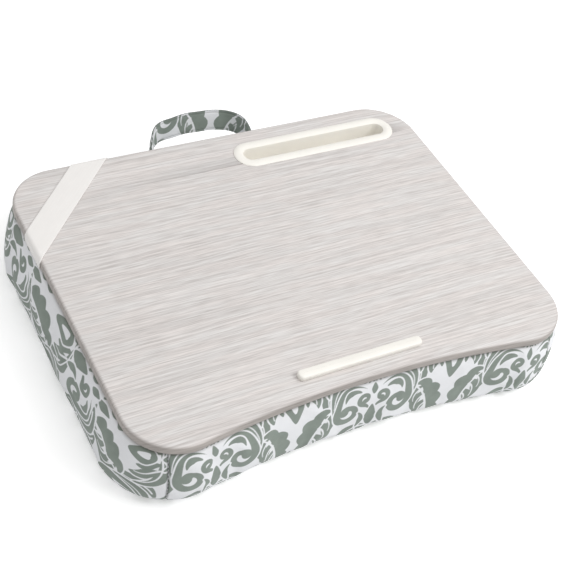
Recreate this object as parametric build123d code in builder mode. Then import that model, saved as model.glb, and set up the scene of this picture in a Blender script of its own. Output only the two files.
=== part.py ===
from build123d import *
from math import asin, cos, degrees, hypot, radians, sin, sqrt
import os

# Lap tray with cushion: a concave-fronted laptop board with a phone slot, a
# device ledge and an elastic corner strap, on a bead-filled cushion whose
# cloth handle swings behind it. The origin lies on the flat under the
# cushion, below the middle of the board, with +X right, +Y back and +Z up.

# Overall sizes
board_width = 444.5
board_depth = 350.8
board_thickness = 9.0
cushion_height = 67.0

# Board outline and edge
back_corner_radius = 48.6
front_corner_radius = 47.8
front_hollow = 14.5
edge_round = 3.2
film_thickness = 0.4
core_bevel = 1.6
foot_bevel = 1.2

# Phone slot insert
slot_side_setback = 117.35
slot_back_setback = 37.1
slot_length = 167.0
slot_width = 17.0
slot_wall = 2.0
slot_floor = 2.0
slot_depth = 22.0
slot_flange_width = 9.7
slot_flange_height = 1.8
slot_flange_lip = 0.6
slot_fit = 0.4
hook_length = 12.0
hook_proud = 0.9
hook_height = 4.0
hook_spacing = 92.0

# Device ledge and its screws
ledge_length = 127.0
ledge_depth = 10.0
ledge_height = 5.6
ledge_corner_radius = 4.2
ledge_top_round = 2.0
ledge_setback = 20.0
screw_spacing = 45.0
screw_count = 3
screw_radius = 1.5
screw_head_radius = 3.0
screw_bite = 3.8
screw_clearance = 0.1

# Elastic corner strap
strap_width = 27.0
strap_thickness = 1.0
strap_tuck = 12.0
strap_side_setback = 91.75
strap_back_setback = 96.9
strap_gap = 0.1

# Cushion form
side_belly = 12.0
front_belly = 5.5
back_belly = 8.0
corner_ease = 15.5
bottom_round = 15.0
top_tuck = 3.0
base_cut = 0.5
bottom_seam_height = 4.5
panel_wrap_angle = 28.0
channel_width = 40.0
channel_depth = 11.0
channel_length = 230.0

# Cushion cloth, divider and bags
cover_thickness = 1.2
hem_width = 12.0
ticking_thickness = 0.8
divider_thickness = 1.0
cloth_gap = 0.3
bag_top_gap = 1.1

# Staples
staple_crown = 10.0
staple_leg = 6.0
staple_wire = 0.6

# Handle
handle_span = 120.0
handle_reach = 34.0
handle_width = 24.0
handle_thickness = 2.5
handle_corner_radius = 28.0
handle_root_radius = 5.0
handle_taper = 14.0
handle_height = 54.0
handle_rise_angle = 13.0
tab_width = 22.0
tab_height = 19.0
tab_thickness = 2.5
tab_round = 3.0

# Overrun of cutting solids past the faces that they cut
overrun = 5.0

# Levels of the cushion wall above its rounded foot: the height as a share of
# the cushion's height, and how much of the full belly the wall has there
wall_height_shares = (0.46, 0.70, 0.86, 1.0)
wall_belly_shares = (0.97, 0.74, 0.42, 0.0)
# Angles round the foot, from the flat base up to the upright wall
foot_angles = (90.0, 55.0, 20.0)
# Levels that the bags inside keep, counted from the foot
bag_levels = (0, 1, 2, 5, 6)

# Places worked out from the sizes above
board_top = cushion_height + board_thickness
half_width = board_width / 2
half_depth = board_depth / 2
film_underside = board_top - film_thickness
slot_centre_x = half_width - slot_side_setback
slot_centre_y = half_depth - slot_back_setback
strap_back_x = strap_side_setback - half_width
strap_left_y = half_depth - strap_back_setback
ledge_y = front_hollow - half_depth + ledge_setback
slot_outer_length = slot_length + 2 * slot_wall
slot_outer_width = slot_width + 2 * slot_wall
slot_flange_length = slot_length + 2 * slot_flange_width
slot_flange_outer = slot_width + 2 * slot_flange_width
pocket_underside = board_top - slot_depth - slot_floor
bag_top = cushion_height - cover_thickness - bag_top_gap
hem_inset = top_tuck + hem_width
strap_angle = Vector(strap_back_x + half_width, half_depth - strap_left_y).get_angle(Vector(1, 0))
strap_middle = (
    (strap_back_x - half_width) / 2,
    (half_depth + strap_left_y) / 2,
)


def tray_outline(plane, side, front, back, ease, inset=0.0):
    """Face of the tray's outline on a plane: straight back and sides, round corners and a
    hollow front whose arc meets the front corners in tangency. side, front and back push
    the edges out, ease opens the corner radii and inset draws the whole outline in."""
    a = half_width + side - inset
    y_back = half_depth + back - inset
    y_front = -half_depth - front + inset
    r_back = back_corner_radius + ease - inset
    r_front = front_corner_radius + ease - inset
    reach = a - r_front
    r_hollow = (reach**2 + front_hollow**2) / (2 * front_hollow) - r_front
    y_hollow = y_front + front_hollow - r_hollow
    y_corner = y_front + r_front
    lean = hypot(reach, y_corner - y_hollow)
    x_meet = reach - r_front * reach / lean
    y_meet = y_corner - r_front * (y_corner - y_hollow) / lean
    diagonal = sqrt(0.5)
    with BuildSketch(plane) as sketch:
        with BuildLine():
            Line((-a, y_corner), (-a, y_back - r_back))
            ThreePointArc(
                (-a, y_back - r_back),
                (-a + r_back * (1 - diagonal), y_back - r_back * (1 - diagonal)),
                (-a + r_back, y_back),
            )
            Line((-a + r_back, y_back), (a - r_back, y_back))
            ThreePointArc(
                (a - r_back, y_back),
                (a - r_back * (1 - diagonal), y_back - r_back * (1 - diagonal)),
                (a, y_back - r_back),
            )
            Line((a, y_back - r_back), (a, y_corner))
            ThreePointArc(
                (a, y_corner),
                (reach + r_front * diagonal, y_corner - r_front * diagonal),
                (x_meet, y_meet),
            )
            ThreePointArc((x_meet, y_meet), (0, y_front + front_hollow), (-x_meet, y_meet))
            ThreePointArc(
                (-x_meet, y_meet),
                (-reach - r_front * diagonal, y_corner - r_front * diagonal),
                (-a, y_corner),
            )
        make_face()
    return sketch.sketch


def belly_outline(height, share, inset):
    """Outline of the cushion at one height, with that share of its full belly."""
    return tray_outline(
        Plane.XY.offset(height),
        side_belly * share,
        front_belly * share,
        back_belly * share,
        corner_ease * share,
        inset,
    )


def cushion_form(skin_depth, top, levels=None):
    """Crowned cushion body, skin_depth inside the outer cloth: a rounded foot, a belly that
    is fullest low down and a wall drawn in under the board, up to the height top. levels
    keeps only some of its outlines, so the plainer body lies inside the full one."""
    foot = bottom_round - skin_depth
    sections = []
    for angle in foot_angles:
        height = skin_depth - base_cut + foot * (1 - sin(radians(angle)))
        inset = skin_depth + foot * (1 - cos(radians(angle)))
        sections.append(belly_outline(height, 1.0, inset))
    for height_share, belly_share in zip(wall_height_shares, wall_belly_shares):
        tuck = top_tuck * (1 - belly_share) ** 3
        sections.append(belly_outline(cushion_height * height_share, belly_share, skin_depth + tuck))
    with BuildPart() as form:
        loft([sections[level] for level in levels] if levels else sections, ruled=True)
        lid = form.faces().sort_by(Axis.Z)[-1]
        extrude(lid, amount=overrun)
        with BuildSketch(Plane.XY.offset(top)):
            Rectangle(2 * board_width, 2 * board_depth)
        extrude(amount=2 * cushion_height, mode=Mode.SUBTRACT)
        with BuildSketch(Plane.XY.offset(max(skin_depth, 0.0))):
            Rectangle(2 * board_width, 2 * board_depth)
        extrude(amount=-2 * overrun, mode=Mode.SUBTRACT)
    return form.part


def channel_cutter(skin_depth):
    """Long shallow channel under the cushion's middle: a round rim turned about an axis far
    below, deepest at its middle and running out towards the front and the back."""
    half_length = channel_length / 2
    turn_radius = (half_length**2 + channel_depth**2) / (2 * channel_depth)
    crest = channel_depth + skin_depth
    half_mouth = channel_width / 2 + skin_depth
    axle = Axis((0, 0, channel_depth - turn_radius), (1, 0, 0))
    half_turn = 1.5 * degrees(asin(half_length / turn_radius))
    with BuildPart() as cutter:
        with BuildSketch(Plane.XZ):
            with BuildLine():
                ThreePointArc((-half_mouth, 0), (0, crest), (half_mouth, 0))
                Polyline(
                    (half_mouth, 0),
                    (half_mouth, -2 * overrun),
                    (-half_mouth, -2 * overrun),
                    (-half_mouth, 0),
                )
            make_face()
        revolve(axis=axle, revolution_arc=2 * half_turn)
    return cutter.part.rotate(axle, -half_turn)


def board_block(inset, low, high):
    """Flat tray blank between two heights."""
    with BuildPart() as block:
        add(tray_outline(Plane.XY.offset(low), 0, 0, 0, 0, inset))
        extrude(amount=high - low)
    return block.part


def slot_prism(length, width, low, high):
    """Upright prism with round ends over the phone slot."""
    with BuildPart() as prism:
        with BuildSketch(Plane.XY.offset(low)):
            with Locations((slot_centre_x, slot_centre_y)):
                SlotOverall(length, width)
        extrude(amount=high - low)
    return prism.part


def strap_band(margin, low, high):
    """Upright prism that follows the corner strap across the back left corner."""
    with BuildPart() as band:
        with BuildSketch(Plane.XY.offset(low)):
            with Locations(Location(strap_middle, strap_angle)):
                Rectangle(board_width, strap_width + 2 * margin)
        extrude(amount=high - low)
    return band.part


ledge_screw_places = [
    ((number - (screw_count - 1) / 2) * screw_spacing, ledge_y) for number in range(screw_count)
]

os.makedirs("parts", exist_ok=True)

# Board core: fibreboard blank with the slot's cut-out and countersunk screw holes
with BuildPart() as board_core:
    add(board_block(film_thickness, cushion_height, film_underside))
    chamfer(board_core.edges().group_by(Axis.Z)[-1], length=core_bevel)
    chamfer(board_core.edges().group_by(Axis.Z)[0], length=foot_bevel)
    add(
        slot_prism(
            slot_outer_length + 2 * slot_fit,
            slot_outer_width + 2 * slot_fit,
            cushion_height - overrun,
            board_top + overrun,
        ),
        mode=Mode.SUBTRACT,
    )
    with Locations(Plane(origin=(0, 0, cushion_height), x_dir=(1, 0, 0), z_dir=(0, 0, -1))):
        with Locations([(x, -y) for x, y in ledge_screw_places]):
            CounterSinkHole(screw_radius + screw_clearance, screw_head_radius, depth=board_thickness)

# Board film: wood-grain film over the top face and down round the rounded edge
with BuildPart() as board_laminate:
    add(board_block(0, cushion_height + foot_bevel, board_top))
    fillet(board_laminate.edges().group_by(Axis.Z)[-1], radius=edge_round)
    with BuildPart(mode=Mode.PRIVATE) as film_inside:
        add(board_block(film_thickness, cushion_height - overrun, film_underside))
        chamfer(film_inside.edges().group_by(Axis.Z)[-1], length=core_bevel)
    add(film_inside.part, mode=Mode.SUBTRACT)
    add(
        slot_prism(
            slot_outer_length + 2 * slot_fit,
            slot_outer_width + 2 * slot_fit,
            cushion_height - overrun,
            board_top + overrun,
        ),
        mode=Mode.SUBTRACT,
    )
    with Locations([(x, y, film_underside) for x, y in ledge_screw_places]):
        Cylinder(screw_radius + screw_clearance, board_thickness, mode=Mode.SUBTRACT)

# Phone slot insert: one moulding with a domed flange, a pocket and four snap hooks
with BuildPart() as phone_slot_insert:
    flange_straight = (slot_length - slot_width) / 2
    flange_middle = (slot_width + slot_flange_width) / 2
    with BuildLine(Plane.XY.offset(board_top)) as flange_path:
        left_x = slot_centre_x - flange_straight
        right_x = slot_centre_x + flange_straight
        Line((left_x, slot_centre_y - flange_middle), (right_x, slot_centre_y - flange_middle))
        ThreePointArc(
            (right_x, slot_centre_y - flange_middle),
            (right_x + flange_middle, slot_centre_y),
            (right_x, slot_centre_y + flange_middle),
        )
        Line((right_x, slot_centre_y + flange_middle), (left_x, slot_centre_y + flange_middle))
        ThreePointArc(
            (left_x, slot_centre_y + flange_middle),
            (left_x - flange_middle, slot_centre_y),
            (left_x, slot_centre_y - flange_middle),
        )
    dome_plane = Plane(
        origin=(left_x, slot_centre_y - flange_middle, board_top), x_dir=(0, 1, 0), z_dir=(1, 0, 0)
    )
    with BuildSketch(dome_plane):
        with BuildLine():
            half_flange = slot_flange_width / 2
            Line((-half_flange, 0), (-half_flange, slot_flange_lip))
            ThreePointArc(
                (-half_flange, slot_flange_lip),
                (0, slot_flange_height),
                (half_flange, slot_flange_lip),
            )
            Line((half_flange, slot_flange_lip), (half_flange, 0))
            Line((half_flange, 0), (-half_flange, 0))
        make_face()
    sweep(path=flange_path.line)
    add(slot_prism(slot_outer_length, slot_outer_width, pocket_underside, board_top + slot_flange_lip))
    hook_top = cushion_height - strap_gap
    for side in (-1, 1):
        wall_y = slot_centre_y + side * slot_outer_width / 2
        for turn in (-1, 1):
            with BuildSketch(Plane.YZ.offset(slot_centre_x + turn * hook_spacing / 2)):
                Polygon(
                    (wall_y, hook_top),
                    (wall_y + side * hook_proud, hook_top),
                    (wall_y, hook_top - hook_height),
                    align=None,
                )
            extrude(amount=hook_length / 2, both=True)
    add(
        slot_prism(slot_length, slot_width, pocket_underside + slot_floor, board_top + overrun),
        mode=Mode.SUBTRACT,
    )

# Device ledge: moulded strip that stops a laptop from sliding off the front
with BuildPart() as device_ledge:
    with BuildSketch(Plane.XY.offset(board_top)):
        with Locations((0, ledge_y)):
            RectangleRounded(ledge_length, ledge_depth, ledge_corner_radius)
    extrude(amount=ledge_height)
    fillet(device_ledge.edges().group_by(Axis.Z)[-1], radius=ledge_top_round)
    with Locations([(x, y, board_top) for x, y in ledge_screw_places]):
        Cylinder(screw_radius + screw_clearance, 2 * screw_bite, mode=Mode.SUBTRACT)

# Ledge screws: countersunk screws driven up through the board into the ledge
with BuildPart() as ledge_screws:
    head_height = screw_head_radius - screw_radius
    with BuildSketch(Plane.XY.offset(cushion_height)):
        with Locations(ledge_screw_places):
            Circle(screw_radius)
    extrude(amount=board_thickness + screw_bite - screw_clearance)
    with Locations([(x, y, cushion_height + head_height / 2) for x, y in ledge_screw_places]):
        Cone(screw_head_radius - screw_clearance, screw_radius, head_height)

# Elastic corner strap: it crosses the back left corner, turns down over both
# edges and ends in two tucked lengths under the board
with BuildPart() as elastic_strap:
    reach_out = strap_thickness + strap_gap
    add(board_block(-reach_out, cushion_height - strap_thickness, board_top + reach_out))
    fillet(elastic_strap.edges().group_by(Axis.Z)[-1], radius=edge_round + reach_out)
    with BuildPart(mode=Mode.PRIVATE) as strap_inside:
        add(board_block(-strap_gap, cushion_height, board_top + strap_gap))
        fillet(strap_inside.edges().group_by(Axis.Z)[-1], radius=edge_round + strap_gap)
    add(strap_inside.part, mode=Mode.SUBTRACT)
    add(strap_band(0, cushion_height - overrun, board_top + overrun), mode=Mode.INTERSECT)
    with BuildSketch(Plane.XY.offset(cushion_height - 2 * overrun)):
        Rectangle(board_width - 2 * strap_tuck, board_depth - 2 * strap_tuck)
    extrude(amount=2 * overrun + board_thickness / 2, mode=Mode.SUBTRACT)
    with BuildSketch(Plane.XY.offset(cushion_height - overrun)):
        with Locations((half_width, -half_depth)):
            Rectangle(board_width * 2, board_depth * 2)
        with Locations((-half_width, half_depth)):
            Rectangle(board_width, board_depth, mode=Mode.SUBTRACT)
    extrude(amount=board_thickness + 2 * overrun, mode=Mode.SUBTRACT)

# Cushion cover: the outer cloth as a shell with a hem turned in under the board
outer_form = cushion_form(0.0, cushion_height)
inner_form = cushion_form(cover_thickness, cushion_height + overrun)
with BuildPart() as cover_shell:
    add(outer_form)
    add(channel_cutter(0.0), mode=Mode.SUBTRACT)
    with BuildPart(mode=Mode.PRIVATE) as hollow:
        add(inner_form)
        add(channel_cutter(cover_thickness), mode=Mode.SUBTRACT)
    add(hollow.part, mode=Mode.SUBTRACT)
    hem_low = cushion_height - cover_thickness
    add(tray_outline(Plane.XY.offset(hem_low), 0, 0, 0, 0, top_tuck + cover_thickness / 2))
    extrude(amount=cover_thickness)
    add(tray_outline(Plane.XY.offset(hem_low), 0, 0, 0, 0, hem_inset))
    extrude(amount=cover_thickness, mode=Mode.SUBTRACT)


def corner_ray(side, end):
    """A front or back corner's centre and a far point along the panel seam there. side is
    -1 for left, end is -1 for front."""
    radius = front_corner_radius if end < 0 else back_corner_radius
    x = side * (half_width - radius)
    y = end * (half_depth - radius)
    turn = radians(panel_wrap_angle)
    return (x, y), (x + side * board_width * sin(turn), y + end * board_width * cos(turn))


def wall_panel(corners):
    """The part of the cover above the bottom seam that stands on one outline of corners."""
    with BuildPart() as panel:
        add(cover_shell.part)
        with BuildSketch(Plane.XY.offset(bottom_seam_height)):
            Polygon(*corners, align=None)
        extrude(amount=cushion_height, mode=Mode.INTERSECT)
    return panel.part


def end_panel(end):
    """Front or back panel, which wraps part of the way round both of its corners."""
    left_centre, left_far = corner_ray(-1, end)
    right_centre, right_far = corner_ray(1, end)
    return wall_panel([left_centre, left_far, right_far, right_centre])


def side_panel(side):
    """Left or right panel, between the seams of the front and back panels."""
    front_centre, front_far = corner_ray(side, -1)
    back_centre, back_far = corner_ray(side, 1)
    far = side * 2 * board_width
    return wall_panel(
        [front_centre, front_far, (far, front_far[1]), (far, back_far[1]), back_far, back_centre]
    )


strap_notch = strap_band(
    strap_gap,
    cushion_height - strap_thickness - cloth_gap,
    cushion_height + overrun,
)

with BuildPart() as cover_front:
    add(end_panel(-1))

with BuildPart() as cover_back:
    add(end_panel(1))
    add(strap_notch, mode=Mode.SUBTRACT)

with BuildPart() as cover_left:
    add(side_panel(-1))
    add(strap_notch, mode=Mode.SUBTRACT)

with BuildPart() as cover_right:
    add(side_panel(1))

# Cushion bottom: the cloth under the bottom seam, with the channel sewn up into it
with BuildPart() as cover_bottom:
    add(cover_shell.part)
    with BuildSketch():
        Rectangle(2 * board_width, 2 * board_depth)
    extrude(amount=bottom_seam_height, mode=Mode.INTERSECT)
    with BuildPart(mode=Mode.PRIVATE) as channel_roof:
        add(cover_shell.part)
        with BuildSketch(Plane.XY.offset(bottom_seam_height)):
            Rectangle(2 * channel_width, channel_length + 2 * channel_width)
        extrude(amount=channel_depth + 2 * cover_thickness, mode=Mode.INTERSECT)
    add(channel_roof.part)

# Top ticking: plain cloth that closes the cushion inside the hem
with BuildPart() as top_ticking:
    add(tray_outline(Plane.XY.offset(cushion_height - ticking_thickness), 0, 0, 0, 0, hem_inset))
    extrude(amount=ticking_thickness)
    pocket_room = 2 * (slot_fit + hook_proud)
    add(
        slot_prism(
            slot_outer_length + pocket_room,
            slot_outer_width + pocket_room,
            pocket_underside - overrun,
            board_top,
        ),
        mode=Mode.SUBTRACT,
    )

# Filling: one body of beads cut by the divider, with room for the slot's pocket
fill_skin = cover_thickness + cloth_gap
fill_form = cushion_form(fill_skin, bag_top, bag_levels)
with BuildPart() as filling:
    add(fill_form)
    add(channel_cutter(fill_skin), mode=Mode.SUBTRACT)
    add(
        slot_prism(
            slot_outer_length + pocket_room,
            slot_outer_width + pocket_room,
            pocket_underside - cloth_gap,
            board_top,
        ),
        mode=Mode.SUBTRACT,
    )


def slab_part(x_low, x_high):
    """The filling between two upright planes across the width."""
    with BuildPart() as slab:
        add(filling.part)
        with BuildSketch():
            with Locations(((x_low + x_high) / 2, 0)):
                Rectangle(x_high - x_low, 2 * board_depth)
        extrude(amount=2 * cushion_height, mode=Mode.INTERSECT)
    return slab.part


bag_edge = divider_thickness / 2 + cloth_gap

with BuildPart() as centre_divider:
    add(slab_part(-divider_thickness / 2, divider_thickness / 2))

with BuildPart() as bead_bag_left:
    add(slab_part(-board_width, -bag_edge))

with BuildPart() as bead_bag_right:
    add(slab_part(bag_edge, board_width))


def staple_row(places, crown_underside):
    """Staples at places (x, y, angle), each a crown and two legs driven upwards."""
    with BuildPart() as row:
        for x, y, angle in places:
            with Locations(Location((x, y, crown_underside + staple_wire / 2), angle)):
                Box(staple_crown, staple_wire, staple_wire)
            leg = Location((x, y, crown_underside + staple_leg / 2), angle)
            with Locations(leg):
                with Locations(((staple_crown - staple_wire) / 2, 0), ((staple_wire - staple_crown) / 2, 0)):
                    Box(staple_wire, staple_wire, staple_leg)
    return row.part


# Cover staples: they hold the hem to the board along all four sides
hem_line = top_tuck + hem_width / 2
front_line = front_hollow - half_depth + hem_line
hem_staple_places = [
    (share * half_width, half_depth - hem_line, 0) for share in (-0.40, -0.2, 0.2, 0.40, 0.62)
]
hem_staple_places += [(share * half_width, front_line, 0) for share in (-0.18, 0.18)]
hem_staple_places += [
    (side * (half_width - hem_line), share * half_depth, 90)
    for side in (-1, 1)
    for share in (-0.55, -0.2, 0.15)
]
hem_staple_places += [(half_width - hem_line, half_depth / 2, 90)]
with BuildPart() as cover_staples:
    add(staple_row(hem_staple_places, cushion_height - cover_thickness - staple_wire))

# Strap staples: two at each tucked end of the elastic strap
tuck_line = strap_tuck / 2
strap_staple_places = [
    (strap_back_x + tuck_line, half_depth - tuck_line, 0),
    (-half_width + tuck_line, strap_left_y - tuck_line, 90),
]
with BuildPart() as strap_staples:
    add(staple_row(strap_staple_places, cushion_height - strap_thickness - staple_wire))


def wall_reach(height):
    """How far the cushion's wall stands outside the board's back edge at a height."""
    share = height / cushion_height
    levels = list(zip(wall_height_shares, wall_belly_shares))
    for (low, belly_low), (high, belly_high) in zip(levels, levels[1:]):
        if low <= share <= high:
            belly = belly_low + (belly_high - belly_low) * (share - low) / (high - low)
            return back_belly * belly - top_tuck * (1 - belly) ** 3
    return back_belly


# Handle: a bowed cloth strap that swings about an axis through its two sewn
# ends, with gathered roots that turn in front of the end tabs
handle_swing_gap = 3 * cloth_gap
handle_axis_y = (
    half_depth
    + wall_reach(handle_height)
    + cloth_gap
    + tab_thickness
    + handle_root_radius
    + handle_swing_gap
)
handle_half_span = handle_span / 2
corner_x = handle_half_span - handle_corner_radius
bow_radius = (corner_x**2 + handle_reach**2 - handle_corner_radius**2) / (
    2 * (handle_reach - handle_corner_radius)
)
bow_lean = hypot(corner_x, bow_radius - handle_reach)
meet_x = corner_x + handle_corner_radius * corner_x / bow_lean
meet_y = handle_corner_radius * (bow_radius - handle_reach) / bow_lean
handle_plane = Plane(
    origin=(0, handle_axis_y, handle_height),
    x_dir=(1, 0, 0),
    z_dir=(0, -sin(radians(handle_rise_angle)), cos(radians(handle_rise_angle))),
)
with BuildPart() as handle_band:
    with BuildSketch(handle_plane.offset(-handle_width / 2)):
        with BuildLine() as bow:
            corner_middle = Vector(corner_x, 0) + Vector(
                (meet_x - corner_x), meet_y
            ).normalized().rotate(Axis.Z, -30) * handle_corner_radius
            Line((handle_half_span, -handle_root_radius), (handle_half_span, 0))
            ThreePointArc((handle_half_span, 0), corner_middle, (meet_x, meet_y))
            ThreePointArc((meet_x, meet_y), (0, handle_reach), (-meet_x, meet_y))
            ThreePointArc(
                (-meet_x, meet_y), (-corner_middle.X, corner_middle.Y), (-handle_half_span, 0)
            )
            Line((-handle_half_span, 0), (-handle_half_span, -handle_root_radius))
        trace(bow.line, line_width=handle_thickness)
    extrude(amount=handle_width)
    side_plane = Plane(
        origin=handle_plane.origin,
        x_dir=handle_plane.y_dir,
        z_dir=handle_plane.x_dir,
    )
    with BuildSketch(side_plane):
        Circle(handle_root_radius)
        with BuildLine():
            Polyline(
                (0, -handle_root_radius),
                (handle_taper, -handle_width / 2),
                (handle_reach + overrun, -handle_width / 2),
                (handle_reach + overrun, handle_width / 2),
                (handle_taper, handle_width / 2),
                (0, handle_root_radius),
                close=True,
            )
        make_face()
    extrude(amount=handle_span, both=True, mode=Mode.INTERSECT)

# Handle end tabs: the strap's turned ends, stitched flat to the back panel
tab_outer = cushion_form(-cloth_gap - tab_thickness, cushion_height)
tab_inner = cushion_form(-cloth_gap, cushion_height + overrun)


def end_tab(side):
    """One tab, shaped to the wall behind the left or right root."""
    with BuildPart() as tab:
        with BuildSketch(Plane.XZ.offset(-half_depth)):
            with Locations((side * handle_half_span, handle_height)):
                RectangleRounded(tab_width, tab_height, tab_round)
        extrude(amount=back_belly + tab_thickness + overrun, both=True)
        add(tab_outer, mode=Mode.INTERSECT)
        add(tab_inner, mode=Mode.SUBTRACT)
    return tab.part


with BuildPart() as handle_end_left:
    add(end_tab(-1))

with BuildPart() as handle_end_right:
    add(end_tab(1))

board_core.part.label = "board_core"
board_laminate.part.label = "board_laminate"
phone_slot_insert.part.label = "phone_slot_insert"
device_ledge.part.label = "device_ledge"
ledge_screws.part.label = "ledge_screws"
elastic_strap.part.label = "elastic_strap"
strap_staples.part.label = "strap_staples"
cover_front.part.label = "cover_front"
cover_back.part.label = "cover_back"
cover_left.part.label = "cover_left"
cover_right.part.label = "cover_right"
cover_bottom.part.label = "cover_bottom"
top_ticking.part.label = "top_ticking"
cover_staples.part.label = "cover_staples"
centre_divider.part.label = "centre_divider"
bead_bag_left.part.label = "bead_bag_left"
bead_bag_right.part.label = "bead_bag_right"
handle_band.part.label = "handle_band"
handle_end_left.part.label = "handle_end_left"
handle_end_right.part.label = "handle_end_right"

export_step(board_core.part, "parts/board_core.step")
export_step(board_laminate.part, "parts/board_laminate.step")
export_step(phone_slot_insert.part, "parts/phone_slot_insert.step")
export_step(device_ledge.part, "parts/device_ledge.step")
export_step(ledge_screws.part, "parts/ledge_screws.step")
export_step(elastic_strap.part, "parts/elastic_strap.step")
export_step(strap_staples.part, "parts/strap_staples.step")
export_step(cover_front.part, "parts/cover_front.step")
export_step(cover_back.part, "parts/cover_back.step")
export_step(cover_left.part, "parts/cover_left.step")
export_step(cover_right.part, "parts/cover_right.step")
export_step(cover_bottom.part, "parts/cover_bottom.step")
export_step(top_ticking.part, "parts/top_ticking.step")
export_step(cover_staples.part, "parts/cover_staples.step")
export_step(centre_divider.part, "parts/centre_divider.step")
export_step(bead_bag_left.part, "parts/bead_bag_left.step")
export_step(bead_bag_right.part, "parts/bead_bag_right.step")
export_step(handle_band.part, "parts/handle_band.step")
export_step(handle_end_left.part, "parts/handle_end_left.step")
export_step(handle_end_right.part, "parts/handle_end_right.step")
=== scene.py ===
from math import cos, pi, radians, sin

import bpy
import numpy as np
from bpy.props import FloatProperty, FloatVectorProperty, PointerProperty
from mathutils import Matrix, Vector
from mathutils.geometry import tessellate_polygon


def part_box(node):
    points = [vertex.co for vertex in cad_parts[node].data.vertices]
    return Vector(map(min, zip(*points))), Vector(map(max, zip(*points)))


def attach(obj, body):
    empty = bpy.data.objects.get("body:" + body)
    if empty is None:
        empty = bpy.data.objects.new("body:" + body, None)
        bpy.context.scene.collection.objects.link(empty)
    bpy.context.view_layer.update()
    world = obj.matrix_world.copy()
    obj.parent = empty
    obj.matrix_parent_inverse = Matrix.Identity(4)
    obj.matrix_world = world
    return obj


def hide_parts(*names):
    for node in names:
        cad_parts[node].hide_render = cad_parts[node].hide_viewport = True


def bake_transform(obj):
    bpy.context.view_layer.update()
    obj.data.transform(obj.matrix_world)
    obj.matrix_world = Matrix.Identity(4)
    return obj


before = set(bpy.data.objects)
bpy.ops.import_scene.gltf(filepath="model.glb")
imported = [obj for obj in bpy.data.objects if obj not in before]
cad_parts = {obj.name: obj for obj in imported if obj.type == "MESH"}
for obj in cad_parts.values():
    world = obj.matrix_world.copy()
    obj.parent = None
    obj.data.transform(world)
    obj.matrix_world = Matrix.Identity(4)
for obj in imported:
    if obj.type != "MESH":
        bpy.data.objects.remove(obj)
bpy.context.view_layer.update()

bl_info = {
    "name": "Lap tray with cushion",
    "version": (1, 0, 0),
    "blender": (4, 5, 0),
    "location": "View3D > Sidebar > Lap tray",
    "description": "Dresses a laptop tray: wood-grain board, printed cushion, handle and mouldings",
    "category": "Add Mesh",
}

# The frame's own boxes, which the sizes below start from
film_low, film_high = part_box("board_laminate")
insert_low, insert_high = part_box("phone_slot_insert")
ledge_low, ledge_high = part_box("device_ledge")
core_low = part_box("board_core")[0]

mm = 0.001
# The line behind the cushion that the handle swings about
hinge_y, hinge_z = 0.1878, 0.054
# Pixels along one side of the square image that the focal length is given for
image_side = 573


def length(name, description, default):
    """A size in metres that the sidebar shows with its unit."""
    return FloatProperty(
        name=name, description=description, default=default, unit="LENGTH", precision=5
    )


def tilt(name, description, default):
    """An angle in radians that the sidebar shows in degrees."""
    return FloatProperty(name=name, description=description, default=default, unit="ROTATION")


def share(name, description, default):
    """A plain number without a unit."""
    return FloatProperty(name=name, description=description, default=default, precision=4)


def colour(name, description, hex_text):
    """A colour written as sRGB hex and held as linear red, green and blue."""
    return FloatVectorProperty(
        name=name, description=description, default=linear(hex_text), subtype="COLOR", size=3,
        min=0, max=1,
    )


def linear(hex_text):
    """Linear red, green and blue of an sRGB hex colour."""
    parts = np.array([int(hex_text[i:i + 2], 16) for i in (1, 3, 5)]) / 255
    bent = np.where(parts <= 0.04045, parts / 12.92, ((parts + 0.055) / 1.055) ** 2.4)
    return tuple(float(part) for part in bent)


class BoardSizes(bpy.types.PropertyGroup):
    """The tray board's outline, edge and film."""

    width: length("Width", "Board from left to right", film_high.x - film_low.x)
    depth: length("Depth", "Board from front corners to back edge", film_high.y - film_low.y)
    top: length("Top", "Height of the board's top face", film_high.z)
    film_foot: length("Film foot", "Height of the film's lower edge", film_low.z)
    underside: length("Underside", "Height of the board's underside", core_low.z)
    back_corner: length("Back corner", "Radius of the back corners", 48.6 * mm)
    front_corner: length("Front corner", "Radius of the front corners", 47.8 * mm)
    hollow: length("Front hollow", "How far the front edge curves in", 14.5 * mm)
    edge_round: length("Edge round", "Radius of the upper edge", 3.2 * mm)
    film: length("Film", "Thickness of the wood-grain film", 0.35 * mm)
    grain_gap: length("Grain spacing", "Distance between grain lines", 2.4 * mm)
    grain_run: length("Grain run", "Length of a grain line", 130 * mm)
    pale: colour("Pale grain", "Colour between the grain lines", "#E7E3E1")
    dark: colour("Dark grain", "Colour of the grain lines", "#BEB8B5")
    # painted shade: the edge tone is darker than the top, standing in for the shade that falls on the
    # film's edge
    edge: colour("Edge tone", "Darker tone of the film where it wraps the edge", "#A8A19C")


class MouldingSizes(bpy.types.PropertyGroup):
    """The phone slot insert and the device ledge, both moulded in one plastic."""

    flange: length("Flange", "Width of the slot's domed flange", 9.7 * mm)
    flange_rise: length("Flange rise", "Height of the flange's dome", 1.8 * mm)
    flange_lip: length("Flange lip", "Height of the flange's two edges", 0.6 * mm)
    pocket_width: length("Pocket width", "Room across the phone pocket", 17 * mm)
    wall: length("Pocket wall", "Thickness of the pocket's wall and floor", 2 * mm)
    ledge_corner: length("Ledge corner", "Corner radius of the ledge from above", 4.2 * mm)
    ledge_round: length("Ledge round", "Radius of the ledge's upper edge", 2 * mm)
    plastic: colour("Plastic", "Cream white of the mouldings", "#F6F3EC")


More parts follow.
